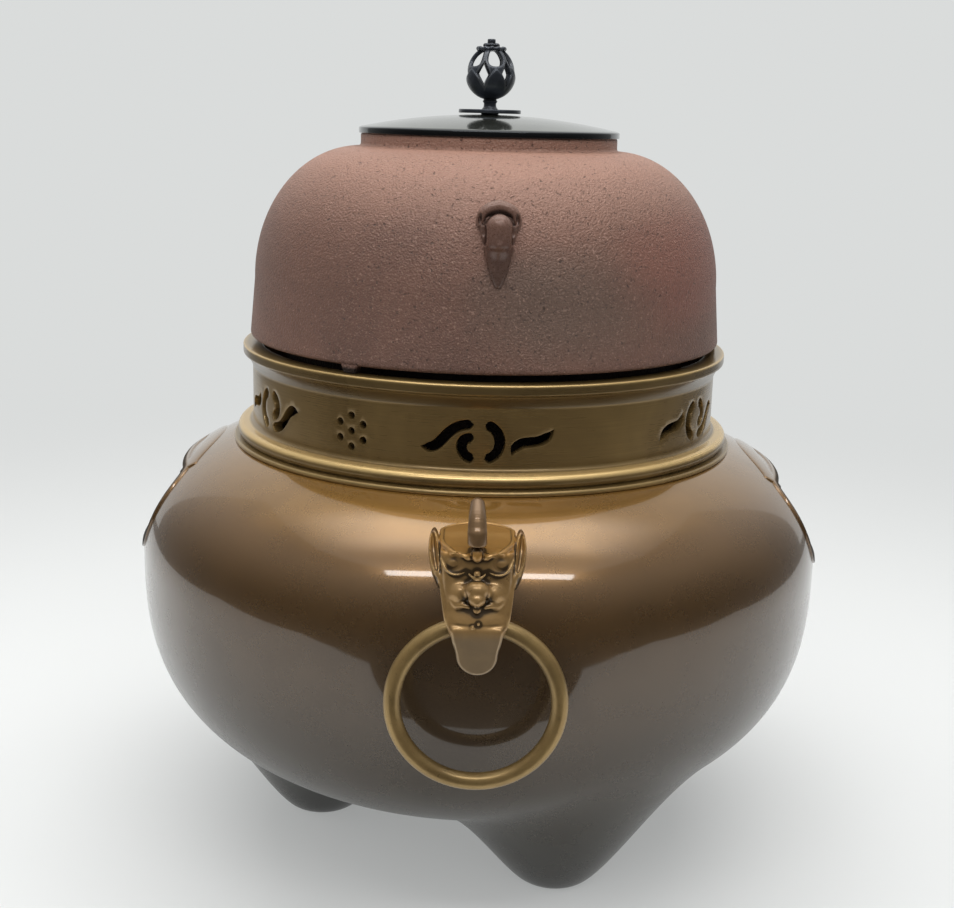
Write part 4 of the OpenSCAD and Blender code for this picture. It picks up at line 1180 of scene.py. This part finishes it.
def maskDistance(p):
    beside, out, z = p[..., 0], p[..., 1], p[..., 2]
    x = beside + mask["lean"] * (z + 15)
    wide = np.abs(x)
    p, m = np.stack([x, out, z], -1), np.stack([wide, out, z], -1)
    # Wedge of the head
    front = out - (3.4 + (mask["crown"] - z) * 0.17)
    sides = wide - (11.9 + (z + 8) * 0.068)
    d = both(front, sides, 4.5)
    d = both(d, z - mask["crown"] + 1.5, 1.6)
    d = both(d, -9.6 - z, 4.0)
    d = carve(d, np.maximum(out + 34.4 - 0.046 * x * x, 17 - z), 1.0)
    jaw = np.hypot(np.maximum(out, 0), np.minimum(z, 0)) - 10.2
    d = np.where((z < 0) & (out > 0), both(d, jaw, 1.0), d)
    d = both(d, wide - 10.9 - 0.12 * np.maximum(z + 2, 0) ** 2, 0.8)
    # Crown: a plate with two drooping lobes in front and a free round edge behind
    lobe = 8.6 - 0.15 * np.maximum(wide - 5, 0) ** 2 - 3.2 * np.exp(-(x / 2.6) ** 2)
    rim = both(wide - 15.4, (out - lobe) / np.sqrt(1 + (0.3 * np.maximum(wide - 5, 0)) ** 2), 2.0)
    rim = both(rim, 0.046 * x * x - 35 - out, 2.0)
    level = 30.7 - 0.12 * np.maximum(out, 0)
    plate = both(rim, np.abs(z - level) - 1.45, 1.5)
    plate = carve(plate, np.maximum(rim + 1.7, level + 0.95 - z), 0.8)
    d = melt(d, plate, 0.5)
    d = built(d, p, m, faceForms)
    # Ears laid back along the sides, hollow in front
    lean = math.radians(40)
    along = (z - 24.4) * math.cos(lean) - (out + 7.0) * math.sin(lean)
    across = (z - 24.4) * math.sin(lean) + (out + 7.0) * math.cos(lean)
    leaf = np.stack([wide - 16.4 - 0.13 * along + 0.006 * along ** 2, across, along], -1)
    ear = egg(leaf, (0, 0, 0), (2.7, 5.6, 13.2))
    ear = carve(ear, egg(leaf, (0.5, 4.6, 1.6), (1.5, 3.2, 8.6)), 0.5)
    d = melt(d, ear, 0.9)
    # Horn that stands on the crown and leans back, in two lengths
    horn = wire(p, [(0, 5.4, 30.8, 3.7), (0, 6.4, 35.6, 3.8), (0, 6.0, 38.6, 3.75)], 3)
    horn = melt(horn, wire(p, [(0, 5.4, 39.2, 3.7), (0, 3.2, 44.2, 3.5), (0, -2.6, 47.9, 2.9)]), 0.5)
    horn = both(horn, 34.4 - z, 0.6)
    d = melt(d, melt(horn, rod(p, (0, 1.6, 30.4), (0, 3.4, 36), 2.5, 2.6), 0.3), 0.3)
    # Tunnel of the ring
    d = carve(d, np.hypot(out, z) - mask["tunnel"], 0.5)
    # Tongue, with the jaw cut back beside it
    d = carve(d, both(8.0 + 0.22 * (z + 9.4) - wide, z + 1.2, 0.6), 0.6)
    loll = np.where(z < -9.4, np.hypot(x, np.minimum(z + 9.4, 0)) - 8.1, (wide - 8.1 - (z + 9.4) * 0.22) * 0.98)
    tongue = both(both(loll, np.abs(out - 8.0) - 2.5, 1.8), z - 2.0, 2.0)
    d = carve(melt(d, tongue, 1.5), np.hypot(out, z) - mask["tunnel"] + 0.9, 0.4)
    # Seat on the bowl
    r = shoulderRadius(z + ring["hingeZ"])
    seat = np.hypot(beside, out + ring["hingeOut"]) - r
    slant = 1 / np.sqrt(1 + (r - shoulderRadius(z + ring["hingeZ"] + 1)) ** 2)
    return both(d, -(seat * slant + 0.3), 0.2)


def makeMask():
    shape = sculpt(maskDistance, mask["low"], mask["high"], mask["step"], maskBronze)
    return pairOf(("maskFront", "maskRear"), shape, ring["hingeOut"], ring["hingeZ"])


maskFront, maskRear = makeMask()
print("masks:", len(maskFront.data.polygons), "faces each")


# Kettle lugs: animal heads, sculpted from the middle of the ring hole

lug = dict(rise=31.5, hole=6.4, step=0.3, low=(-13, -18, -26), high=(13, 13, 16))
headForms = [
    (carve, 1.2, False, ball, (0, 9.2, -2.0), 2.0),
    # Root over the hole, arched brow and curled ears
    (melt, 0.8, False, rod, (0, -2.4, 3.9), (0, -12, 5.4), 3.4, 4.6),
    (melt, 0.3, True, wire, [(0, -5.4, 10.2, 3.0), (4.6, -5.2, 9.2, 2.7), (7.4, -4.6, 6.6, 2.1),
                             (8.2, -4.4, 3.2, 1.5)]),
    (carve, 0.5, True, egg, (7.9, -2.4, 5.2), (0.9, 1.8, 2.6)),
    (melt, 0.5, True, rod, (6.5, -3.8, 1.6), (6.0, -3.2, -4.4), 1.3, 0.9)]
lugZ = sideZ + lug["rise"]


def kettleRadius(z):
    share = np.clip((z - sideZ) / kettle["shoulder"], 0, 0.999)
    return kettle["mouth"] + (kettle["side"] - kettle["mouth"]) * np.sqrt(1 - share ** 2)


lugOut = float(kettleRadius(lugZ)) + lug["hole"] / 2 + 1.4


def lugDistance(p):
    x, out, z = p[..., 0], p[..., 1], p[..., 2]
    m = np.stack([np.abs(x), out, z], -1)
    wall = kettleRadius(z + lugZ) - lugOut
    # Snout: a barrel with a ball top, cut square below
    d = rod(p, (0, 2.4, 2.4), (0, 2.6, -6), 5.3, 5.0)
    d = both(d, -6.2 - z, 1.8)
    d = built(d, p, m, headForms)
    # Tongue that lies on the shoulder, with a groove down its middle
    flat = np.stack([x, out - wall, z], -1)
    taper = np.clip((z + 23.4) / 16.4, 0, 1.05)
    leaf = both(np.abs(x) - 0.5 - 5.8 * taper ** 0.62, -23.4 - z, 1.0) * 0.92
    leaf = both(both(leaf, out - wall - 1.6 - 2.8 * taper + 0.045 * x * x, 2.2), z + 5.4, 1.0)
    leaf = carve(leaf, rod(flat, (0.3, 5.0, -9), (0.2, 3.1, -20.5), 1.1, 0.8), 0.9)
    d = melt(d, leaf, 0.8)
    d = melt(d, rod(p, (0, 1.4, -5.6), (0, -1.2, -14), 4.7, 3.0), 1.6)
    # Hole for the carrying ring, and the seat on the kettle
    d = carve(d, np.hypot(out, z) - lug["hole"] / 2, 0.4)
    slope = kettleRadius(z + lugZ) - kettleRadius(z + lugZ + 1)
    return both(d, (wall - 0.3 - out) / np.sqrt(1 + slope ** 2), 0.3)


def makeLugs():
    shape = sculpt(lugDistance, lug["low"], lug["high"], lug["step"], kettleIron)
    setAttribute(shape, "cast", np.ones(len(shape.vertices)))
    return pairOf(("lugFront", "lugRear"), shape, lugOut, lugZ, kettle["turn"])


lugFront, lugRear = makeLugs()
print("lugs:", len(lugFront.data.polygons), "faces each")


# Openwork knob: a cup of six petals, six loops rising from it, a beaded collar and a button

knob = dict(radius=11.85, height=24.0, wall=2.1, stemHeight=5.5, step=0.26, low=(-14, -14, -21), high=(14, 14, 19),
            up=13.8, down=11.3, gaps=(-161, -90, -19, 41, 90, 139, 199))
seatTop = lidTop + lid["hub"] + lid["discThick"]
budZ = seatTop + knob["stemHeight"] + knob["height"] / 2 - 0.8


def knobDistance(p):
    x, y, z = p[..., 0], p[..., 1], p[..., 2]
    far = np.hypot(x, y)
    r, up, down = knob["radius"], knob["up"], knob["down"]
    # The six gaps aren't quite even round the bud; the phase runs evenly between them
    angle, start = np.degrees(np.arctan2(x, -y)) - kettle["turn"], knob["gaps"][0]
    phase = np.interp((angle - start) % 360 + start, knob["gaps"], np.arange(7) * 60)
    toGap = np.abs((phase + 30) % 60 - 30)
    toLoop = 30 - toGap
    around = np.radians(r * np.sqrt(np.clip(1 - (z / np.where(z > 0, up, down)) ** 2, 0.1, 1)))
    shell = np.where(z > 0, egg(p, (0, 0, 0), (r, r, up)), egg(p, (0, 0, 0), (r, r, down)))
    tip = 2.4 - 1.0 * np.maximum(toLoop * around - 0.4, 0)
    thick = 0.55 / (1 + np.exp(np.clip((z - tip) / 0.2, -40, 40)))
    d = np.abs(shell + knob["wall"] / 2 - thick / 2 + 0.3) - (knob["wall"] + thick) / 2
    diamond = (toGap / 15 + np.abs(z - 0.4) / 5.7 - 1) * 2.4
    d = carve(d, diamond, 0.4)
    bay = (((toLoop / 22.5) ** 2.6 + (np.abs(z - 7.9) / 4.1) ** 2.6) ** (1 / 2.6) - 1) * 3.2
    d = carve(d, bay, 0.7)
    d = both(d, z - 12.6, 0.4)

    def beads(apart, reach, height, size):
        turn = np.radians((angle + apart / 2) % apart - apart / 2)
        return np.sqrt((far * np.cos(turn) - reach) ** 2 + (far * np.sin(turn)) ** 2 + (z - height) ** 2) - size

    def plate(reach, height, thick):
        return np.hypot(np.maximum(far - reach, 0), z - height) - thick

    # Collar with lumps, ring of beads, button
    d = melt(d, plate(6.0, 12.0, 0.85), 0.5)
    d = melt(d, beads(30, 6.2, 12.2, 1.05), 0.4)
    d = melt(d, beads(45, 2.9, 13.7, 1.1), 0.3)
    d = melt(d, plate(2.2, 13.6, 0.9), 0.3)
    d = melt(d, both(both(far - 1.95, z - 16.7, 0.6), 12 - z, 0.5), 0.3)
    # Waisted stem with a flange under the bud
    low = seatTop - budZ + knob["height"] / 2 - down
    waist = 3.0 + 0.9 * np.exp(-((z - low) / 0.9) ** 2) + 0.55 * np.exp(-((z + down + 0.9) / 0.55) ** 2)
    stem = both(both(far - waist, z + down - 1.4, 0.4), low - z, 0.2)
    d = melt(d, stem, 0.4)
    tenon = both(both(far - lid["tenon"] / 2, z - low - 1, 0.2), low - 7.5 - z, 0.2)
    return melt(d, tenon, 0.2)


def makeKnob():
    shape = sculpt(knobDistance, knob["low"], knob["high"], knob["step"], knobBlack)
    shape.transform(Matrix.Translation((0, 0, budZ + knob["down"] - knob["height"] / 2)))
    return settle("knobBud", shape, sharp=50)


knobBud = makeKnob()
print("knob:", len(knobBud.data.polygons), "faces")

# CAD solids that show as they are take a finish
for node, material in [("mask_washers", fastenerBrass), ("mask_nuts", fastenerBrass),
                       ("sound_plates", kettleIron), ("knob_back_washer", lidBronze)]:
    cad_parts[node].data.materials.clear()
    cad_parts[node].data.materials.append(material)

# Each piece stands for its solids and rides on their body
for piece, body, node, slot in [
        (bowlShell, "brazier", "bowl", "bowl_bronze"), (neckBand, "brazier", "neck", "neck_bronze"),
        (maskFront, "brazier", "mask_front", "mask_bronze"), (maskRear, "brazier", "mask_rear", "mask_bronze"),
        (ringFront, "front_ring", "ring_front", "ring_brass"), (ringRear, "rear_ring", "ring_rear", "ring_brass"),
        (kettleBody, "kettle_body", "kettle", "kettle_iron"),
        (lugFront, "kettle_body", "kettle_lug_front", "kettle_iron"),
        (lugRear, "kettle_body", "kettle_lug_rear", "kettle_iron"), (lidDome, "lid_body", "lid", "lid_bronze"),
        (knobDisc, "lid_body", "knob_seat", "knob_black"), (knobBud, "lid_body", "knob", "knob_black")]:
    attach(piece, body)
    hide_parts(node)


# Stage, light and camera

stage = dict(size=8.0, cloth=(0.82, 0.83, 0.82), paleCloth=(0.85, 0.86, 0.85), far=(0.70, 0.715, 0.71),
             fadeFrom=0.3, fadeTo=1.2, lift=0.42, ambient=0.38)
flag = dict(back=1.5, height=2.3, above=0.004, paleHeight=1.7, paleFrom=-0.9,
            dark=(0.045, 0.04, 0.036), pale=(0.62, 0.63, 0.62),
            table=[(0.0, -0.3), (0.1, -0.31), (0.24, -0.45), (0.5, -0.42), (0.86, -0.12), (0.9, 1.5)],
            wall=[(0.0, -1.4), (0.4, -1.4), (1.1, -1.4), (1.5, -0.9), (1.7, -0.4), (1.7, 1.5)])
panel = dict(height=1.45, middle=0.05, size=(2.1, 1.1), soft=(0.75, 0.4), glow=(2.6, 2.6, 2.54))


# One for rays that show a surface as it looks, nought for those that only light others
def seenRays(g):
    ray = g.add("ShaderNodeLightPath", out="Is Camera Ray")
    return (ray + ray.other("Is Glossy Ray") + ray.other("Is Transmission Ray")).atMost(1)


def stageSheet(name, points, faces, paint):
    mesh = bpy.data.meshes.new(name)
    mesh.from_pydata(points, [], faces)
    mesh.materials.append(finish(name, paint))
    sheet = newObject(name, mesh)
    return sheet


# Pale cloth that passes into the backdrop's tone away from the object; near the object part of that tone glows through
# as painted light, lightening the object's shadow for the camera and in reflections
def paintFloor(g):
    where = g.place()
    x, y = g.split(where)[:2]
    haze = g.noise(where, 3, 2, 0.5)
    cloth = g.add("ShaderNodeBsdfPrincipled", {}, {
        "Base Color": g.mix(haze, stage["cloth"], stage["paleCloth"]), "Roughness": 0.8})
    far = g.add("ShaderNodeEmission", {}, {"Color": stage["far"], "Strength": 1.0})
    # Painted light: the glow lifts the shadow near the object
    fade = g.ease((x * x + y * y).root(), stage["fadeFrom"], stage["fadeTo"], stage["lift"], 1)
    return g.add("ShaderNodeMixShader", {}, {0: fade * seenRays(g), 1: cloth, 2: far})


def makeFloor():
    s = stage["size"] / 2
    stageSheet("floor", [(-s, -s, 0), (s, -s, 0), (s, s, 0), (-s, s, 0)], [(0, 1, 2, 3)], paintFloor)


# Dark surround in front and at the sides that only polished metal sees, paler upwards and to the back
def paintFlag(g):
    y, z = g.split(g.place())[1:]
    share = g.ease(z, 0.0, flag["paleHeight"], 0, 0.6) + g.ease(y, flag["paleFrom"], flag["back"], 0, 0.3)
    return g.add("ShaderNodeEmission", {}, {"Color": g.mix(share, flag["dark"], flag["pale"]), "Strength": 1.0})


def hideFrom(sheet):
    sheet.visible_camera = sheet.visible_diffuse = sheet.visible_shadow = False


def makeFlag():
    table, wall = ([(-x, y) for x, y in flag[k][:0:-1]] + flag[k] for k in ("table", "wall"))
    low, high = flag["above"], flag["height"]
    rows = [[(*p, z) for p in row] for row, z in ((table, low), (wall, low), (wall, high))]
    n = len(table)
    faces = [(n * r + i, n * r + i + 1, n * r + i + 1 + n, n * r + i + n) for r in (0, 1) for i in range(n - 1)]
    hideFrom(stageSheet("flag", [p for row in rows for p in row], faces, paintFlag))


# Panel overhead with soft edges, mirrored in the shoulder of the bowl
def paintPanel(g):
    x, y = g.split(g.place())[:2]
    away = (x, y - panel["middle"])
    across, along = (g.ease((a * a).root(), size / 2, size / 2 - soft)
                     for a, size, soft in zip(away, panel["size"], panel["soft"]))
    shine = g.add("ShaderNodeEmission", {}, {"Color": panel["glow"], "Strength": 1.0})
    clear = g.add("ShaderNodeBsdfTransparent")
    return g.add("ShaderNodeMixShader", {}, {0: across * along, 1: clear, 2: shine})


def makePanel():
    w, d = (s / 2 for s in panel["size"])
    y, z = panel["middle"], panel["height"]
    corners = [(-w, y - d, z), (-w, y + d, z), (w, y + d, z), (w, y - d, z)]
    hideFrom(stageSheet("panel", corners, [(0, 1, 2, 3)], paintPanel))


# Area lamps: place, target, size, power, and whether polished metal mirrors them
lamps = dict(overhead=((0.0, 0.05, 1.45), (0, 0, 0.2), (1.9, 0.8), 21, False),
             frontStrip=((0.01, -1.0, 1.5), (0, -0.1, 0.2), (1.52, 0.16), 7, True),
             frontFill=((0.0, -1.3, 1.0), (0, 0, 0.1), (1.6, 0.8), 3.5, False),
             leftFill=((-1.4, -0.3, 0.9), (0, 0, 0.2), (0.8, 1.0), 2.0, False))


def softbox(name, where, target, size, power, mirrored):
    lamp = bpy.data.lights.new(name, "AREA")
    lamp.shape, lamp.size, lamp.size_y = "RECTANGLE", size[0], size[1]
    lamp.energy = power
    holder = newObject(name, lamp)
    holder.location = where
    holder.rotation_mode = "QUATERNION"
    holder.rotation_quaternion = (Vector(target) - Vector(where)).to_track_quat("-Z", "Y")
    holder.visible_glossy = mirrored


def makeWorld():
    world = bpy.data.worlds.new("studio")
    world.use_nodes = True
    world.node_tree.nodes.clear()
    g = Graph(world.node_tree)
    light = g.add("ShaderNodeBackground", {}, {"Color": (1.0, 1.0, 1.0), "Strength": stage["ambient"]})
    seen = g.add("ShaderNodeBackground", {}, {"Color": stage["far"], "Strength": 1.0})
    mixed = g.add("ShaderNodeMixShader", {}, {0: seenRays(g), 1: light, 2: seen})
    g.add("ShaderNodeOutputWorld", {}, {"Surface": mixed})
    scene.world = world


# Focal length and picture width in pixels, angles in degrees
camera = dict(where=(-0.0020, -0.696, 0.3635), pitch=13.64, roll=1.45, focal=1400, width=954, sensor=36)


def makeCamera():
    data = bpy.data.cameras.new("camera")
    data.sensor_width = camera["sensor"]
    data.lens = camera["focal"] / camera["width"] * data.sensor_width
    holder = newObject("camera", data)
    holder.location = camera["where"]
    tilt = Matrix.Rotation(math.radians(90 - camera["pitch"]), 3, "X")
    holder.rotation_euler = (tilt @ Matrix.Rotation(math.radians(camera["roll"]), 3, "Z")).to_euler()
    scene.camera = holder


makeFloor()
makeFlag()
makePanel()
makeWorld()
makeCamera()
for name, setting in lamps.items():
    softbox(name, *setting)
scene.view_settings.view_transform = "Standard"
print("stage set")
